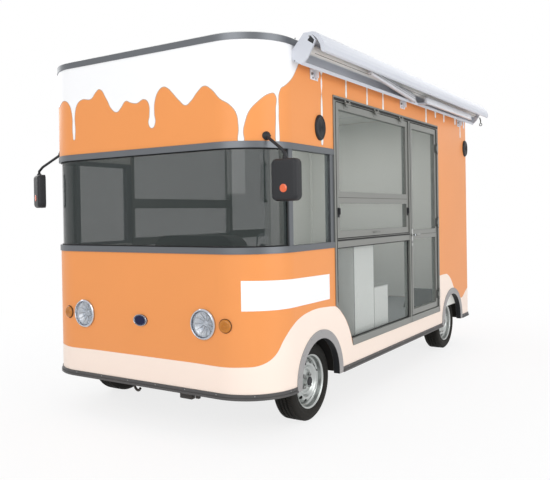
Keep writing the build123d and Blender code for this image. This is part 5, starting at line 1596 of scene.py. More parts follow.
@dataclass
class AwningTrim:
    """Cloth, seams, brackets, elbows, end caps and crank eye of the roller awning."""

    front: float = -1.6
    rear: float = 1.925
    roller: tuple[float, float, float] = (1.032, 2.338, 0.032)
    arm_z: float = 2.266

    def build(self) -> None:
        """Build the awning's detail."""
        self.cloth()
        self.case_seams()
        self.elbows()
        self.brackets()
        self.crank()
        self.end_caps()

    def cloth(self) -> None:
        """Wind the cloth on the roller, with its rolled hem into the front bar."""
        x, z, radius = self.roller
        length = self.rear - self.front - 0.034
        start = [(0, 0), (radius - 0.004, 0), (radius - 0.004, 0.012)]
        start += [(radius - 0.003 + turn * 0.0008, 0.013 + turn * 0.003) for turn in range(3)]
        rows = [*start, (radius - 0.0014, length / 2), *((out, length - low) for out, low in start[::-1])]
        roll = Draft("awning_cloth_roll", AWNING_CLOTH)
        roll.lathe(rows, facing((x, self.front + 0.016, z), BACK)).done("awning_roller")

    def case_seams(self) -> None:
        """Mark the extrusion joint along the case."""
        seam = Draft("awning_seams", ANODISED_DARK)
        seam.block((1.1, self.front + 0.02, 2.2908), (1.102, self.rear - 0.02, 2.2932))

    def elbows(self) -> None:
        """Bolt the arms' elbows and shoulders."""
        draft = Draft("awning_arm_joints", POWDER_WHITE_PAINTED_LIGHT)
        bolts = Draft("awning_arm_bolts", ZINC)
        spots = ((1.134, -0.863, 0.02), (1.046, 0.19, 0.017), (1.092, 0.345, 0.017), (1.092, 1.582, 0.017))
        for x, y, radius in spots:
            seat = facing((x, y, (2.31 if y < 0 else self.arm_z) - 0.019), DOWN, BACK)
            knuckle = [(0, -0.002), (radius, -0.002), (radius, 0.003), (radius * 0.7, 0.006), (0, 0.006)]
            draft.lathe(knuckle, seat, 28)
            bolts.lathe([(0, 0.004), (0.0075, 0.004), (0.0075, 0.0095), (0, 0.011)], seat, 6)

    def brackets(self) -> None:
        """Hang the case on three wall brackets with bolts, and black discs on them that paint the shade in
        their slots.
        """
        plates = Draft("awning_brackets", POWDER_WHITE_PAINTED_LIGHT)
        bolts = Draft("awning_bracket_bolts", ZINC)
        slot_shades = Draft("awning_bracket_slot_shades", BLACK_RUBBER)
        for along in (-1.33, 0.16, 1.66):
            plates.block((0.9502, along - 0.05, 2.19), (0.9562, along + 0.05, 2.2655), 0.0025)
            plates.block((0.9555, along - 0.05, 2.2495), (1.0, along + 0.05, 2.2565), 0.0025)
            plates.block((0.9555, along - 0.004, 2.2), (0.988, along + 0.004, 2.25), 0.0018)
            for step in (-0.032, 0.032):
                seat = facing((0.9558, along + step, 2.226), LEFT)
                bolts.disc(0.0105, 0, 0.0018, seat, 0.0006, 20)
                bolts.lathe([(0, 0.001), (0.0075, 0.001), (0.0075, 0.0082), (0, 0.0095)], seat, 6)
                # Black disc: painted shade in the bracket's slot
                hole = facing((0.9556, along + step * 0.6, 2.203), LEFT)
                slot_shades.disc(0.0065, 0, 0.0012, hole, 0.0004, 16)

    def crank(self) -> None:
        """Hang the black crank eye under the rear end of the case."""
        eye = Draft("awning_crank_eye", BLACK_PLASTIC)
        eye.ring(0.0125, 0.0036, facing((1.118, 1.86, 2.232), BACK) @ Matrix.Translation((0, -0.012, 0)), 28)
        eye.tube([(1.118, 1.86, 2.238), (1.118, 1.86, 2.262), (1.11, 1.86, 2.29)], 0.0055, 3)

    def end_caps(self) -> None:
        """Screw the two moulded end caps of the case and lay a black plate on each that paints the shade in
        its recess.
        """
        recess = Draft("awning_cap_recess_shades", BLACK_PLASTIC, slot="awning_white")
        screws = Draft("awning_cap_screws", ZINC)
        # Outline of the black plate on each cap, a painted shade of its recess
        corners = ((1.062, 2.372), (1.1, 2.346), (1.108, 2.37), (1.082, 2.398), (1.074, 2.386))
        for along, out in ((self.front, -1), (self.rear, 1)):
            face = recess.bm.faces.new([recess.bm.verts.new((x, along - out * 0.001, z)) for x, z in corners])
            geom = bmesh.ops.extrude_face_region(recess.bm, geom=[face])["geom"]
            bmesh.ops.translate(recess.bm, verts=only(bmesh.types.BMVert, geom), vec=(0, out * 0.0018, 0))
            for x, z in ((0.972, 2.262), (0.978, 2.395), (1.075, 2.395)):
                seat = facing((x, along - out * 0.0003, z), (0, out, 0))
                screws.disc(0.0048, 0, 0.0022, seat, 0.0009, 16)
        bmesh.ops.recalc_face_normals(recess.bm, faces=recess.bm.faces[:])


@dataclass
class OutsideTrim:
    """Mirror glass, reflectors, bolts, speaker grilles and the fittings of rear and roof."""

    mirror_turn: float = -28.0
    mirror_x: float = 1.057
    mirror_z: float = 1.535
    mirror_rear: float = -1.834
    liner_radius: float = 0.2497
    liner_foot: float = 0.2565
    arch_screw_radius: float = 0.293

    SPEAKERS = ((-1.262, 1.895), (1.85, 1.985))
    SPEAKER_HALVES = (0.064, 0.083)

    def build(self) -> None:
        """Build the outside trim."""
        self.arch_liners()
        self.mirrors()
        self.mirror_joints()
        self.speaker_grilles()
        self.number_plate()
        self.rear()
        self.roof()
        self.sill_screws()

    def arch_liners(self) -> None:
        """Line the return of each arch trim in black, down to its cut end."""
        draft = Draft("arch_liners", BLACK_PLASTIC)
        radius, steps = self.liner_radius, 40
        for middle in (FRONT_ARCH, REAR_ARCH):
            turns = [math.pi * step / steps for step in range(steps + 1)]
            arc = [(middle - radius * math.cos(turn), ARCH_Z + radius * math.sin(turn)) for turn in turns]
            path = [(middle - radius, self.liner_foot), *arc, (middle + radius, self.liner_foot)]
            draft.strip([(0.9108, along, height) for along, height in path], (0.0446, 0, 0))
        draft.walled(-0.0012)
        draft.mirrored()

    def mirrors(self) -> None:
        """Shape the mirror housings and fit their glass, rims and reflectors."""
        x, z, rear = self.mirror_x, self.mirror_z, self.mirror_rear
        depth = 0.057
        shell = Draft("mirror_housings", BLACK_PLASTIC)
        shell.block((-0.087, -0.12, 0.0), (0.087, 0.12, depth), place=facing((x, rear, z), FORWARD))
        ends = {edge: [vert.co for vert in edge.verts] for edge in shell.bm.edges}
        shell.rounded([edge for edge, (a, b) in ends.items() if abs((a - b).normalized().y) > 0.9], 0.034, 8)
        flat = [all(abs(vert.co.y - rear + depth) < 1e-4 for vert in edge.verts) for edge in shell.bm.edges]
        shell.rounded([edge for edge, kept in zip(shell.bm.edges, flat) if kept], 0.022, 6)
        glass = Draft("mirror_glass", MIRROR_GLASS)
        glass.block((x - 0.072, rear - 0.001, z - 0.104), (x + 0.072, rear + 0.0012, z + 0.104), 0.0009)
        rim = Draft("mirror_rims", BLACK_PLASTIC)
        seat = facing((0, rear - 0.001, 0), BACK)
        rim.border((-x - 0.077, z - 0.109), (-x + 0.077, z + 0.109), 0.006, 0.0038, seat, 0.0012)
        reflex = Draft("mirror_reflectors", REFLEX_ORANGE)
        rows = ((0, -0.001), (0.0235, -0.001), (0.0235, 0.002), (0.021, 0.0032), (0.012, 0.0044), (0, 0.0048))
        reflex.lathe(rows, facing((x, rear - 0.0565, 1.487), FORWARD), 40)
        # The right mirror is turned on its stem, as the driver has set it
        pivot = Vector((-x, rear - 0.028, 0))
        for draft in (shell, glass, rim, reflex):
            draft.mirrored()
            far = [vert for vert in draft.bm.verts if vert.co.x < 0]
            bmesh.ops.rotate(draft.bm, verts=far, cent=pivot, matrix=turned(self.mirror_turn).to_3x3())
        shell.done("mirror_heads")

    def mirror_joints(self) -> None:
        """Bolt the mirrors' ball joints to the body and to the housings."""
        socket = Draft("mirror_sockets", BLACK_PLASTIC)
        wall = on_skin(0.936, 1.8)
        cup = ((0, -0.001), (0.026, -0.001), (0.026, 0.003), (0.021, 0.008), (0.014, 0.014), (0, 0.014))
        socket.lathe(cup, wall, 36)
        for turn in (0, 120, 240):
            spot = turned(turn) @ Matrix.Translation((0.0215, 0, 0.005))
            socket.lathe([(0, 0), (0.0045, 0), (0.0045, 0.005), (0, 0.006)], wall @ spot, 6)
        top = facing((self.mirror_x, -1.863, self.mirror_z + 0.1175), UP, BACK)
        socket.lathe([(0, 0), (0.018, 0), (0.015, 0.01), (0.011, 0.014), (0, 0.014)], top, 28)
        socket.mirrored()

    def speaker_grilles(self) -> None:
        """Shape the oval speakers: seat, domed shell and slotted grille."""
        half_along, half_up = self.SPEAKER_HALVES
        oval = Matrix.Diagonal((half_along / half_up, 1, 1, 1))
        shell = Draft("speaker_shells", BLACK_PLASTIC)
        rings = Draft("speaker_grilles", BLACK_PLASTIC)
        rows = (
            (0, 0.0), (half_up, 0.0), (half_up, 0.006), (half_up - 0.004, 0.012), (half_up - 0.013, 0.017),
            (half_up - 0.018, 0.0165), (half_up - 0.022, 0.013), (0.03, 0.0155), (0, 0.0165)
        )
        for along, height in self.SPEAKERS:
            seat = facing((SIDE, along, height), LEFT) @ oval
            shell.lathe(rows, seat, 64)
            for radius in (0.052, 0.041, 0.03, 0.019, 0.008):
                rings.ring(radius, 0.0019, seat @ raised(0.0165 - 1.44 * radius**2), 56, 6)
        shell.done("speakers")

    def number_plate(self) -> None:
        """Hang the blank number plate on the rear wall."""
        back = facing((0, TAIL, 0), BACK)
        Draft("blank_number_plate", POWDER_WHITE).block(
            (-0.26, 0.5, 0.003), (0.26, 0.61, 0.0055), 0.002, 2, back
        )
        holder = Draft("number_plate_holder", BLACK_PLASTIC)
        holder.border((-0.268, 0.492), (0.268, 0.618), 0.011, 0.0075, back, 0.0015)
        holder.block((-0.24, 0.51, 0), (0.24, 0.6, 0.0029), place=back)
        holder.block((-0.07, 0.622, 0), (0.07, 0.652, 0.012), 0.004, 3, back)
        screws = Draft("number_plate_screws", ZINC)
        for x in (-0.19, 0.19):
            screws.disc(0.006, 0, 0.0022, back @ Matrix.Translation((x, 0.555, 0.0053)), 0.001, 16)

    def rear(self) -> None:
        """Fit the reflectors, beads and rivets of the rear wall."""
        back = facing((0, TAIL, 0), BACK)
        reflex = Draft("rear_reflectors", RED_LENS)
        seams = Draft("rear_wall_beads", ORANGE_PAINT)
        rivets = Draft("rear_rivets", ORANGE_PAINT)
        for hand in (-1, 1):
            x = 0.78 * hand
            reflex.block((x - 0.045, 0.61, 0), (x + 0.045, 0.65, 0.0065), 0.003, 3, back)
            x = 0.3 * hand
            seams.block((x - 0.012, 0.3, 0), (x + 0.012, 2.355, 0.0035), 0.0015, 2, back)
            for step in range(14):
                spot = back @ Matrix.Translation((hand * 0.29988, 0.36 + 0.148 * step, 0.0033))
                rivets.lathe([(0, 0), (0.004, 0), (0.003, 0.0015), (0, 0.002)], spot, 10)

    def roof(self) -> None:
        """Lay the roof's pressed ribs."""
        ribs = Draft("roof_ribs", WHITE_PAINT)
        for step in range(7):
            y = -1.35 + step * 0.5
            ribs.block((-0.86, y - 0.03, 2.41), (0.86, y + 0.03, 2.4155), 0.0024)

    def sill_screws(self) -> None:
        """Screw the sill trim and the arch trims on."""
        draft = Draft("sill_screws", ZINC)
        runs = [0.12 + 0.24 * step for step in range(5)] + [1.85 + 0.25 * step for step in range(8)]
        seats = [on_skin(run, 0.281, 0.0057) for run in (*runs, 4.5, 4.64)]
        for middle in (FRONT_ARCH, REAR_ARCH):
            for angle in (math.radians(12 + 26 * turn) for turn in range(7)):
                y = middle + self.arch_screw_radius * math.cos(angle)
                z = ARCH_Z + self.arch_screw_radius * math.sin(angle)
                seats.append(facing((0.9557, y, z), LEFT))
        for seat in seats:
            draft.disc(0.0042, 0, 0.0018, seat, 0.0008, 12)
        draft.mirrored()


@dataclass
class Rims:
    """Pressed steel rims in place of the plain ones: rolled flange, dished disc and oval vents."""

    sheet: float = 0.0035
    vents: int = 12
    vent_circle: float = 0.1235
    vent_half: Pair = (0.0105, 0.0145)
    steps: int = 84

    # Radius and height of the disc's outer face
    DISC = (
        (0.03, 0.034), (0.064, 0.034), (0.068, 0.0325), (0.073, 0.0285), (0.082, 0.0275), (0.088, 0.03),
        (0.097, 0.041), (0.104, 0.049), (0.112, 0.0512), (0.122, 0.049), (0.131, 0.0405), (0.138, 0.0275),
        (0.1425, 0.016), (0.1468, 0.006)
    )
    # Half of the barrel's section, from the middle out to its rolled flange and back inside
    BARREL = (
        (0.149, 0.0), (0.149, 0.012), (0.151, 0.02), (0.158, 0.026), (0.163, 0.029), (0.1648, 0.034),
        (0.1652, 0.058), (0.1668, 0.0618), (0.1722, 0.0638), (0.174, 0.0655), (0.1738, 0.0678),
        (0.1715, 0.068), (0.1692, 0.0662), (0.1662, 0.0655), (0.1625, 0.0625), (0.1612, 0.058),
        (0.161, 0.036), (0.1595, 0.032), (0.1545, 0.0285), (0.1475, 0.022), (0.1455, 0.013), (0.1455, 0.0)
    )
    HUB = (
        (0.0275, 0.0325), (0.037, 0.0325), (0.0365, 0.0375), (0.0345, 0.041), (0.0335, 0.057),
        (0.0318, 0.0595), (0.029, 0.0598), (0.0275, 0.058)
    )

    def build(self) -> None:
        """Press the four rims."""
        for name, hand, axle in Wheels.PLACES:
            draft = Draft(f"rim_{name}_pressed", RIM_LACQUER, f"wheel_{name}")
            rear = [(out - 0.0008, height - self.sheet) for out, height in self.DISC[::-1]]
            draft.lathe([*self.DISC, *rear], steps=self.steps, closed=True)
            cutter = Draft("vent_cutter", RIM_LACQUER)
            across, along = self.vent_half
            stretch = Matrix.Translation((self.vent_circle, 0, 0)) @ Matrix.Diagonal(
                (across / along, 1, 1, 1)
            )
            for vent in range(self.vents):
                cutter.disc(along, 0.0, 0.08, turned(360 * (vent + 0.5) / self.vents) @ stretch, 0.0, 20)
            draft.cut(cutter)
            mirror = [(out, -height) for out, height in self.BARREL[::-1] if height > 0]
            draft.lathe([*self.BARREL, *mirror], steps=self.steps, closed=True)
            draft.lathe(self.HUB, steps=60, closed=True)
            draft.placed(draft.bm.verts, facing((hand * Wheels.track, axle, WHEEL_Z), (hand, 0, 0)))
            draft.done(f"rim_{name}")


@dataclass
class AwningArms:
    """Folding arms in their rounded extrusions, with dark strips along their sides that paint the shade of
    their groove lines.
    """

    half_width: float = 0.014
    half_height: float = 0.026

    FRONT = (Vector((1.046, 0.1905, 2.266)), Vector((1.13, -0.872, 2.31)))
    REAR = (Vector((1.09, 0.3305, 2.27)), Vector((1.09, 1.6, 2.27)))

    def build(self) -> None:
        """Build both arms."""
        draft = Draft("awning_arm_profiles", POWDER_WHITE_PAINTED_LIGHT)
        for start, end in (self.FRONT, self.REAR):
            along = end - start
            place = facing(start, along)
            draft.block(
                (-self.half_width, -self.half_height, 0.012), (self.half_width, self.half_height,
                along.length - 0.012), 0.006, 3, place)
            draft.block(
                (-self.half_width + 0.004, -self.half_height + 0.006, 0.0), (self.half_width - 0.004,
                self.half_height - 0.006, along.length), 0.003, place=place)
        draft.done("awning_arms")
        # Dark strips along the arms' sides: painted shade of their groove lines
        groove_shades = Draft("awning_arm_groove_shades", ANODISED_DARK)
        for start, end in (self.FRONT, self.REAR):
            along = end - start
            place = facing(start, along)
            for rise in (-0.008, 0.008):
                groove_shades.block(
                    (self.half_width - 0.0006, rise - 0.001, 0.03), (self.half_width + 0.0005, rise + 0.001,
                    along.length - 0.03), place=place)


@dataclass
class Underbody:
    """Spring clips and U-bolts, drums, boots, motor fins and the battery's lid and straps."""

    spring_x: float = 0.52
    drum_x: Pair = (0.675, 0.728)

    def build(self) -> None:
        """Build what shows from below."""
        self.springs()
        self.drums()
        self.motor()
        self.battery()
        self.tie_rod_boots()
        self.hoses_and_hooks()

    def springs(self) -> None:
        """Clip the leaf packs and clamp them to the axles."""
        clips = Draft("spring_clips", ZINC, slot="spring_steel")
        bolts = Draft("axle_u_bolts", ZINC, slot="spring_steel")
        for axle in (FRONT_AXLE, REAR_AXLE):
            x = self.spring_x
            for step in (-0.2, 0.2):
                clips.border(
                    (x - 0.031, 0.286), (x + 0.031, 0.334), 0.005, 0.024, facing((0, axle + step - 0.012, 0),
                    BACK) @ Matrix.Diagonal((-1, 1, 1, 1))
                )
            for step in (-0.046, 0.046):
                for side in (-0.03, 0.03):
                    bolts.disc(0.006, 0, 0.115, facing((x + side, axle + step, 0.205), UP, BACK), 0.002, 12)
                    nut = facing((x + side, axle + step, 0.212), DOWN, BACK)
                    bolts.lathe([(0, -0.004), (0.0105, -0.004), (0.0105, 0.006), (0, 0.006)], nut, 6)
            bolts.block((x - 0.045, axle - 0.06, 0.2125), (x + 0.045, axle + 0.06, 0.2225), 0.002)
        clips.mirrored()
        bmesh.ops.recalc_face_normals(clips.bm, faces=clips.bm.faces[:])
        bolts.mirrored()

    def drums(self) -> None:
        """Set the rear brake drums, with their cooling ribs and backing plates."""
        draft = Draft("rear_brake_drums", CAST_STEEL)
        low, high = self.drum_x
        rows = [(0.034, 0), (0.118, 0), (0.12, 0.004), (0.12, 0.006)]
        for rib in range(4):
            start = 0.01 + rib * 0.009
            rows += [(0.113, start), (0.118, start + 0.001), (0.118, start + 0.004), (0.113, start + 0.005)]
        rows += [(0.112, high - low - 0.003), (0.108, high - low), (0.034, high - low)]
        draft.lathe(rows, facing((low, REAR_AXLE, WHEEL_Z), LEFT), 64, closed=True)
        draft.mirrored()

    def motor(self) -> None:
        """Fin the drive motor, cap its ends and fit its terminal box."""
        draft = Draft("motor_fins", MOTOR_CAST)
        axis = facing((0, REAR_AXLE, WHEEL_Z), LEFT)
        for fin in range(36):
            draft.block((0.109, -0.0018, -0.118), (0.1235, 0.0018, 0.118), 0.0012, 1, axis @ turned(10 * fin))
        for start, stop in ((-0.1505, -0.124), (0.124, 0.1505)):
            draft.lathe(
                [(0.045, start), (0.118, start), (0.1215, start + 0.004), (0.1215, stop - 0.004), (0.118,
                stop), (0.045, stop)], axis, 64, closed=True
            )
        Draft(
            "motor_terminal_box", BLACK_PLASTIC, slot="motor_metal"
        ).block((-0.05, 1.23, 0.285), (0.05, 1.27, 0.365), 0.008, 3)

    def battery(self) -> None:
        """Rib the battery's tray, lay its lid and strap it to the rails."""
        lid = Draft("battery_ribs", BATTERY_PAINT)
        for step in range(9):
            y = -0.72 + 0.11 * step
            lid.block((-0.387, y - 0.014, 0.262), (0.387, y + 0.014, 0.384), 0.0025)
        for step in range(6):
            x = -0.325 + 0.13 * step
            lid.block((x - 0.02, -0.77, 0.2485), (x + 0.02, 0.19, 0.2525), 0.0015)
        straps = Draft("battery_straps", ZINC, slot="battery_case")
        for y in (-0.6, 0.02):
            straps.block((-0.392, y - 0.03, 0.2455), (0.392, y + 0.03, 0.2487), 0.001)
            for hand in (-1, 1):
                low, high = sorted((hand * 0.3885, hand * 0.3918))
                straps.block((low, y - 0.03, 0.2455), (high, y + 0.03, 0.32), 0.001)
        plug = Draft("charge_socket", BLACK_PLASTIC, slot="battery_case")
        plug.disc(0.034, 0, 0.02, facing((0.2, -0.78, 0.33), FORWARD), 0.006, 40)
        plug.disc(0.026, 0.019, 0.028, facing((0.2, -0.78, 0.33), FORWARD), 0.003, 40)

    def tie_rod_boots(self) -> None:
        """Slip boots and lock nuts, both zinc plated, on the tie rod."""
        boots = Draft("tie_rod_locknuts", ZINC, "tie_rod", "cast_steel")
        for hand in (-1, 1):
            seat = facing((hand * 0.68, -1.19, 0.187), (-hand, 0, 0))
            boots.lathe([(0.0, 0), (0.0165, 0), (0.0165, 0.014), (0, 0.014)], seat, 6)
            boots.lathe([(0.0, 0.02), (0.015, 0.02), (0.015, 0.06), (0, 0.06)], seat, 20)

    def hoses_and_hooks(self) -> None:
        """Pin the tow eyes and hang the two dark brackets that show under the nose."""
        pins = Draft("tow_pins", ZINC, slot="chassis_black")
        for x in (-0.42, 0.42):
            seat = facing((x, -1.846, 0.352), FORWARD)
            pins.lathe([(0, 0), (0.011, 0), (0.011, 0.007), (0, 0.0085)], seat, 6)
        brackets = Draft("nose_brackets", CHASSIS_PAINT)
        brackets.block((0.27, -1.865, 0.236), (0.33, -1.835, 0.392), 0.004)
        brackets.block((0.25, -1.868, 0.196), (0.35, -1.83, 0.242), 0.008, 3)
        brackets.block((0.37, -1.862, 0.206), (0.4, -1.838, 0.392), 0.006, 3)
        brackets.block((-0.175, -1.862, 0.262), (-0.125, -1.838, 0.392), 0.005)
        brackets.tube(
            [(-0.15, -1.85, 0.285), (-0.153, -1.85, 0.235), (-0.143, -1.85, 0.205), (-0.118, -1.85, 0.194),
            (-0.1, -1.85, 0.21)], 0.0085, 3
        )


@dataclass
class Cabin:
    """Linings, instruments, stalks, doors, worktops, sink and lamps inside the van."""

    dash_rear: float = -1.66
    dash_high: float = 1.095
    column: Vector = Vector((0.33, -1.45, 0.985))
    wall: float = 0.9095
    ceiling: float = 2.3595
    counter_face: float = -0.51
    counter_top: float = 0.9
    board: float = 0.004

    def build(self) -> None:
        """Build the cabin's fittings."""
        self.linings()
        self.nose_linings()
        self.instruments()
        self.dash_vents()
        self.dash_fittings()
        self.steering()
        self.cabinet_fittings()
        self.counter_fittings()
        self.sink()
        self.ceiling_lamps()
        self.floor_strips()

    def linings(self) -> None:
        """Line the walls, header and ceiling in pale board."""
        draft = Draft("wall_linings", LINING)
        strips = Draft("lining_strips", POWDER_WHITE_PAINTED_LIGHT, slot="cabinet_white")
        top, low = self.ceiling, self.ceiling - self.board
        draft.block((-0.9, -1.58, low), (0.9, 1.895, top), 0.001)
        draft.block((-0.6, -1.88, low), (0.6, -1.5805, top), 0.001)
        draft.block((-0.885, 1.8955, 0.413), (0.885, 1.8995, low - 0.001), 0.001)
        for y in (-1.0, -0.2, 0.6, 1.4):
            strips.block((-0.895, y - 0.012, low - 0.003), (0.895, y + 0.012, low + 0.0005), 0.001)
        for hand in (-1, 1):
            inner, outer = sorted((hand * (self.wall - self.board), hand * self.wall))
            draft.block((inner, 1.012, 0.415), (outer, 1.893, low - 0.001), 0.001)
            draft.block((inner, -1.075, 2.137), (outer, 1.01, low - 0.001), 0.001)
            inner, outer = sorted((hand * (self.wall - 0.007), hand * (self.wall - 0.0035)))
            strips.block((inner, 1.44, 0.6), (outer, 1.464, low - 0.004), 0.001)
        coves = Draft("lining_coves", LINING)
        coves.block((0.882, 1.876, 0.575), (0.9062, 1.8962, low - 0.001), 0.004, 3).mirrored()

    def nose_linings(self) -> None:
        """Bend pale boards along the inside of the nose, above and below its glass."""
        straight = FRAME_FRONT - 0.002 - NOSE - FRONT_RADIUS
        reach = SIDE - FRONT_RADIUS + FRONT_RADIUS * math.pi / 2 + straight
        middle = Vector((0, -0.9, 0))
        for name, start, stop, low, high in (
            ("upper", -reach, reach, 1.764, self.ceiling - self.board - 0.002),
            ("left", 0.98, reach, 0.575, 1.128), ("right", -reach, -0.98, 0.575, 1.128)
        ):
            draft = Draft(f"nose_lining_{name}", LINING)
            count = max(12, round((stop - start) / 0.035))
            runs = [start + (stop - start) * step / count for step in range(count + 1)]
            draft.strip([on_skin(run, low, -0.0405).translation for run in runs], (0, 0, high - low))
            for face in draft.bm.faces:
                if face.normal.dot(middle - face.calc_center_median().xy.to_3d()) < 0:
                    face.normal_flip()
            draft.walled(self.board)

    def instruments(self) -> None:
        """Fit two round dials and a display in the binnacle."""
        rims = Draft("dial_rims", CHROME)
        faces = Draft("dial_faces", DASH_DARK)
        marks = Draft("dial_marks", POWDER_WHITE, slot="dash_grey")
        needles = Draft("dial_needles", REFLEX_ORANGE)
        for x, lean in ((0.235, -50), (0.425, 20)):
            seat = facing((x, self.dash_rear, 1.138), BACK)
            rims.ring(0.046, 0.003, seat @ raised(0.004), 56)
            faces.disc(0.0455, -0.001, 0.003, seat, 0.0005, 48)
            for tick in range(13):
                foot = 0.034 if tick % 3 else 0.031
                place = seat @ turned(-120 + 20 * tick)
                marks.block((-0.0008, foot, 0.0029), (0.0008, 0.0405, 0.0036), place=place)
            needles.block((-0.0011, -0.006, 0.0036), (0.0011, 0.032, 0.005), 0.0004, 1, seat @ turned(lean))
            needles.disc(0.005, 0.003, 0.0068, seat, 0.001, 20)
        faces.block((0.292, self.dash_rear - 0.001, 1.112), (0.368, self.dash_rear + 0.003, 1.166), 0.002)

    def dash_vents(self) -> None:
        """Fit round vents and switches to the dashboard, and demister slots to its top."""
        back = facing((0, self.dash_rear, 0), BACK)
        dark = Draft("dash_vents", DASH_DARK)
        for x in (-0.78, -0.12, 0.03, 0.79):
            seat = back @ Matrix.Translation((-x, 1.035, 0))
            dark.ring(0.036, 0.0045, seat @ raised(0.003)).disc(0.034, -0.001, 0.0015, seat, 0.0, 40)
            for step in (-0.018, -0.006, 0.006, 0.018):
                half = math.sqrt(0.034**2 - step**2)
                dark.block((-half, step - 0.0015, 0.001), (half, step + 0.0015, 0.0065), 0.0008, 1, seat)
        for switch in range(5):
            x = 0.16 + 0.05 * switch
            dark.block((x - 0.019, 0.945, -0.001), (x + 0.019, 0.972, 0.005), 0.003, 3, back)
        slots = Draft("demister_slots", DASH_DARK)
        low = self.dash_high - 0.0005
        for x in (-0.62, -0.37, -0.12):
            slots.border((x - 0.105, -1.845), (x + 0.105, -1.81), 0.005, 0.004, raised(low), 0.001)
            for step in range(7):
                place = x - 0.09 + 0.03 * step
                slots.block((place - 0.0025, -1.842, low), (place + 0.0025, -1.813, low + 0.003))

    def dash_fittings(self) -> None:
        """Fit knobs and the glove box to the dashboard."""
        back = facing((0, self.dash_rear, 0), BACK)
        knobs = Draft("dash_knobs", BLACK_PLASTIC, slot="dash_grey")
        knob = (
            (0, 0), (0.019, 0), (0.018, 0.006), (0.013, 0.008), (0.012, 0.02), (0.0105, 0.022), (0, 0.022)
        )
        for x in (0.03, -0.03, -0.09):
            knobs.lathe(knob, back @ Matrix.Translation((-x, 0.9, 0)), 28)
        doors = Draft("glove_box_door", DASH_PLASTIC)
        doors.block((0.25, 0.66, -0.001), (0.75, 0.9, 0.006), 0.005, 3, back)
        doors.block((-0.13, 0.62, -0.001), (0.11, 0.86, 0.005), 0.005, 3, back)
        latch = Draft("glove_box_latch", BLACK_PLASTIC, slot="dash_grey")
        latch.block((0.465, 0.868, 0.004), (0.535, 0.888, 0.011), 0.004, 3, back)

    def steering(self) -> None:
        """Cover the steering column, and fit its stalks and the wheel's horn pad."""
        plane = facing(self.column, (0, 0.5, math.sqrt(0.75)), FORWARD)
        tilt = plane.to_3x3()
        shroud = (
            (0, -0.15), (0.034, -0.15), (0.045, -0.135), (0.049, -0.06), (0.045, -0.038), (0.036, -0.031),
            (0, -0.031)
        )
        Draft("column_shroud", DASH_DARK).lathe(shroud, plane, 40)
        stalks = Draft("column_stalks", BLACK_PLASTIC, slot="dash_grey")
        for hand in (-1, 1):
            points = [(hand * 0.04, 0, -0.062), (hand * 0.09, 0.006, -0.056), (hand * 0.135, 0.012, -0.05)]
            stalks.tube([plane @ Vector(point) for point in points], 0.0055, 3)
            seat = facing(plane @ Vector((hand * 0.13, 0.0115, -0.0505)), tilt @ Vector((hand, 0.13, 0.12)))
            stalks.lathe([(0, 0), (0.0085, 0.001), (0.0095, 0.012), (0.008, 0.032), (0, 0.035)], seat, 20)
        pad = Draft("horn_pad", BLACK_PLASTIC, "steering_wheel")
        rows = ((0, 0.0105), (0.05, 0.0105), (0.054, 0.014), (0.05, 0.0195), (0.035, 0.023), (0, 0.0245))
        pad.lathe(rows, plane).ring(0.043, 0.0014, plane @ raised(0.0215), 48, 6)
        seams = Draft("steering_grip_seams", SEAT_VINYL, "steering_wheel", "black_plastic")
        for turn in (35, 145, 215, 325):
            way = Vector((math.cos(math.radians(turn)), math.sin(math.radians(turn)), 0))
            along = tilt @ Vector((-way.y, way.x, 0))
            seams.ring(0.0142, 0.0014, facing(plane @ (0.185 * way), along, tilt @ Vector(UP)), 28, 6)

    def cabinet_fittings(self) -> None:
        """Hang doors on the cabinets and lay their steel tops and plinth."""
        doors = Draft("cabinet_doors", CABINET_COAT)
        doors.block((0.548, -0.66, 0.47), (0.5605, -0.325, 1.09), 0.003, 3)
        doors.block((0.548, -0.311, 0.47), (0.5605, -0.057, 0.75), 0.003, 3)
        tops = Draft("cabinet_tops", STAINLESS)
        tops.block((0.553, -0.672, 1.0995), (0.895, -0.313, 1.107), 0.0025, 3)
        tops.block((0.553, -0.3175, 0.7595), (0.895, -0.043, 0.767), 0.0025, 3)
        handles = Draft("cabinet_handles", STAINLESS)
        for y, low, high in ((-0.35, 0.72, 0.88), (-0.085, 0.55, 0.68)):
            rows = (
                (0.549, low), (0.53, low + 0.006), (0.526, (low + high) / 2), (0.53, high - 0.006),
                (0.549, high)
            )
            handles.tube([(x, y, z) for x, z in rows], 0.0045, 3)
        edges = Draft("cabinet_edges", ANODISED)
        for y, top in ((-0.665, 1.099), (-0.32, 1.099), (-0.052, 0.759)):
            edges.block((0.8885, y - 0.0025, 0.4115), (0.8915, y + 0.0025, top), 0.0008)
        plinth = Draft("cabinet_plinth", BLACK_PLASTIC, slot="cabinet_white")
        plinth.block((0.557, -0.665, 0.4115), (0.5605, -0.052, 0.462), 0.001)

    def counter_fittings(self) -> None:
        """Fit doors, handles, upstand and drainer to the counter."""
        doors = Draft("counter_doors", STAINLESS)
        handles = Draft("counter_handles", BLACK_PLASTIC, slot="counter_steel")
        face, top = self.counter_face, self.counter_top
        for step in range(4):
            low = -0.712 + 0.428 * step
            doors.block((face - 0.0005, low, 0.47), (face + 0.014, low + 0.42, 0.85), 0.003, 3)
            handles.block((face + 0.0135, low + 0.13, 0.818), (face + 0.026, low + 0.29, 0.834), 0.004, 3)
        upstand = Draft("counter_upstand", STAINLESS)
        upstand.block((-0.8975, -0.755, top - 0.001), (-0.8895, 1.735, top + 0.06), 0.003, 3)
        for step in range(9):
            y = 0.16 + 0.03 * step
            upstand.block((-0.84, y - 0.003, top - 0.0005), (-0.54, y + 0.003, top + 0.0025), 0.0012)

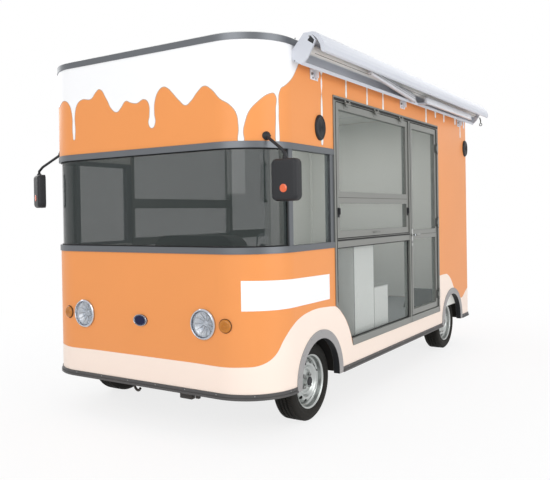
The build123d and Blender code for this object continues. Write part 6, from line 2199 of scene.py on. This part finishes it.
    def sink(self) -> None:
        """Rim the sink and stand its tap."""
        top = self.counter_top
        sink = Draft("sink_rim", CHROME, slot="counter_steel")
        sink.border((-0.85, 0.5), (-0.53, 0.86), 0.016, 0.005, raised(top - 0.0005), 0.002)
        sink.border((-0.83, 0.52), (-0.55, 0.84), 0.006, 0.0035, raised(top - 0.0005), 0.001)
        sink.disc(0.03, -0.0005, 0.0022, Matrix.Translation((-0.69, 0.68, top)), 0.0008, 36)
        tap = Draft("sink_tap", CHROME, slot="counter_steel")
        spout = ((-0.868, 0), (-0.868, 0.16), (-0.85, 0.215), (-0.8, 0.235), (-0.745, 0.21), (-0.735, 0.17))
        tap.tube([(x, 0.68, top + z) for x, z in spout], 0.0095, 4)
        foot = Matrix.Translation((-0.868, 0.68, top - 0.0005))
        tap.lathe([(0, 0), (0.024, 0), (0.022, 0.012), (0.0125, 0.018), (0, 0.018)], foot, 36)
        lever = ((-0.868, 0.7, 0.02), (-0.868, 0.735, 0.04), (-0.862, 0.765, 0.045))
        tap.tube([(x, y, top + z) for x, y, z in lever], 0.004, 3)

    def ceiling_lamps(self) -> None:
        """Fix long diffuser lamps to the ceiling."""
        lamps = Draft("ceiling_lamps", LENS_FROSTED)
        ends = Draft("ceiling_lamp_ends", BLACK_PLASTIC)
        low = self.ceiling - self.board - 0.0005
        for x in (-0.35, 0.35):
            for y in (-0.95, 0.55):
                lamps.block((x - 0.03, y, low - 0.026), (x + 0.03, y + 0.7, low), 0.012, 4)
                for end in (y - 0.008, y + 0.692):
                    ends.block((x - 0.032, end, low - 0.028), (x + 0.032, end + 0.016, low), 0.004)

    def floor_strips(self) -> None:
        """Screw a tread strip inside the door."""
        strip = Draft("door_tread_strip", STAINLESS)
        strip.block((0.84, 0.33, 0.4105), (0.9, 0.96, 0.4145), 0.001)
        for step in range(5):
            x = 0.847 + 0.0115 * step
            strip.block((x, 0.335, 0.414), (x + 0.004, 0.955, 0.4165), 0.001)


@dataclass
class DriverSeat:
    """Upholstered cushion and back, swelled as cloth, with their sewn channels."""

    x: Pair = (0.11, 0.55)
    y: Pair = (-1.18, -0.72)
    low: float = 0.64
    cushion_top: float = 0.75
    back_top: float = 1.14
    back_front: float = -0.81
    voxel: float = 0.006
    swell: float = 0.024
    frames: int = 20

    def build(self) -> None:
        """Build the seat's two pads and its shell."""
        x_low, x_high = self.x
        cushion = self.pad(
            "seat_cushion", (x_low + 0.016, self.y[0] + 0.014, self.low + 0.006), (x_high - 0.016,
            self.back_front - 0.004, self.cushion_top - 0.022), 2
        )
        back = self.pad(
            "seat_back", (x_low + 0.016, self.back_front + 0.018, self.cushion_top - 0.052), (x_high - 0.016,
            self.y[1] - 0.02, self.back_top - 0.016), 1
        )
        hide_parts("driver_seat")
        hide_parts("driver_seat")
        shell = Draft("seat_shell", BLACK_PLASTIC, slot="seat_vinyl")
        shell.block(
            (x_low + 0.02, self.y[1] - 0.016, 0.66), (x_high - 0.02, self.y[1] - 0.001, 1.1), 0.006, 3
        )
        shell.block(
            (x_low + 0.02, self.y[0] + 0.02, self.low), (x_high - 0.02, self.y[1] - 0.002, self.low + 0.012),
            0.004
        )
        bolts = Draft("seat_base_bolts", ZINC, slot="chassis_black")
        for along in (-1.1, -0.8):
            for height in (0.45, 0.6):
                seat = facing((0.5095, along, height), LEFT)
                bolts.lathe([(0, 0), (0.009, 0), (0.009, 0.006), (0, 0.0075)], seat, 6)

    def pad(self, name: str, low: Row, high: Row, face_axis: int) -> bpy.types.Object:
        """Swell one pad and press its channels in.

        Args:
            name: The pad's name.
            low: The lowest corner of the uncovered foam.
            high: The highest corner of the uncovered foam.
            face_axis: The axis that the sitter's side faces: 2 up, or 1 forwards.

        Returns:
            The pad.
        """
        draft = Draft(f"{name}_foam", SEAT_VINYL)
        draft.block(low, high, 0.026, 5)
        foam = draft.done()
        self._swollen(foam)
        mesh = foam.data
        mesh.name = name
        foam.name = name
        middle = [(a + b) / 2 for a, b in zip(low, high)]
        bm = bmesh.new()
        bm.from_mesh(mesh)
        bmesh.ops.subdivide_edges(bm, edges=bm.edges[:], cuts=1, use_grid_fill=True, smooth=0.2)
        self._channels(bm, high[2], middle, face_axis)
        bm.to_mesh(mesh)
        bm.free()
        for face in mesh.polygons:
            face.use_smooth = True
        return foam

    def _swollen(self, foam: bpy.types.Object) -> None:
        """Remesh the foam and blow its cover up a little.

        Args:
            foam: The pad, whose mesh is replaced.
        """
        scene = bpy.context.scene
        start = foam.data.copy()
        cover = bpy.data.objects.new("cover", start)
        scene.collection.objects.link(cover)
        remesh = cover.modifiers.new("remesh", "REMESH")
        remesh.mode = "VOXEL"
        remesh.voxel_size = self.voxel
        graph = bpy.context.evaluated_depsgraph_get()
        cover.data = bpy.data.meshes.new_from_object(cover.evaluated_get(graph))
        cover.modifiers.clear()
        before = [vert.co.copy() for vert in cover.data.vertices]
        cloth = cover.modifiers.new("cloth", "CLOTH")
        cloth.settings.use_pressure = True
        cloth.settings.uniform_pressure_force = 4
        cloth.settings.effector_weights.gravity = 0
        cloth.point_cache.frame_start = 1
        cloth.point_cache.frame_end = self.frames
        for frame in range(1, self.frames + 1):
            scene.frame_set(frame)
        graph = bpy.context.evaluated_depsgraph_get()
        made = bpy.data.meshes.new_from_object(cover.evaluated_get(graph))
        for vert, origin in zip(made.vertices, before):
            move = vert.co - origin
            if move.length > self.swell:
                vert.co = origin + move.normalized() * self.swell
            vert.co.x = min(self.x[1] - 0.001, max(self.x[0] + 0.001, vert.co.x))
            vert.co.y = min(self.y[1] - 0.001, max(self.y[0] + 0.001, vert.co.y))
            vert.co.z = min(self.back_top - 0.001, max(self.low + 0.012, vert.co.z))
        bpy.data.objects.remove(cover)
        made.materials.clear()
        for finish in foam.data.materials:
            made.materials.append(finish)
        foam.data = made
        scene.frame_set(1)

    def _channels(self, bm: bmesh.types.BMesh, top: float, middle: Row, face_axis: int) -> None:
        """Press the sewn lines into a pad.

        Args:
            bm: The pad.
            top: The foam's highest Z.
            middle: The foam's middle.
            face_axis: The axis that the sitter's side faces.
        """

        def fold(away: float, width: float) -> float:
            """How deep a line presses so far away from it, from 0 to 1."""
            return math.exp(-((away / width) ** 2))

        bm.normal_update()
        other = 1 if face_axis == 2 else 2
        lines = [(0, middle[0] + step) for step in (-0.12, 0.0, 0.12)] + [(other, middle[other])]
        moves = []
        for vert in bm.verts:
            on_face = abs(vert.normal[face_axis])
            depth = max(0.006 * fold(vert.co[axis] - place, 0.0045) for axis, place in lines) * on_face
            if face_axis == 2:
                depth = max(depth, 0.004 * fold(vert.co.z - top + 0.03, 0.003) * (1 - on_face))
            moves.append((vert, vert.normal * -depth))
        for vert, move in moves:
            vert.co += move


def main() -> None:
    """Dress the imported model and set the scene."""
    logging.basicConfig(level=logging.INFO, format="%(name)s %(message)s")
    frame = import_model()
    parts: tuple = (
        Studio(), Finishing(frame), Livery(), Wheels(), Rims(), Lamps(), GlazingTrim(), AwningTrim(),
        AwningArms(), OutsideTrim(), Underbody(), Cabin(), DriverSeat()
    )
    for part in parts:
        part.build()
        Draft.finish_all()
        log.info("%s is built", type(part).__name__)


if __name__ == "__main__":
    main()
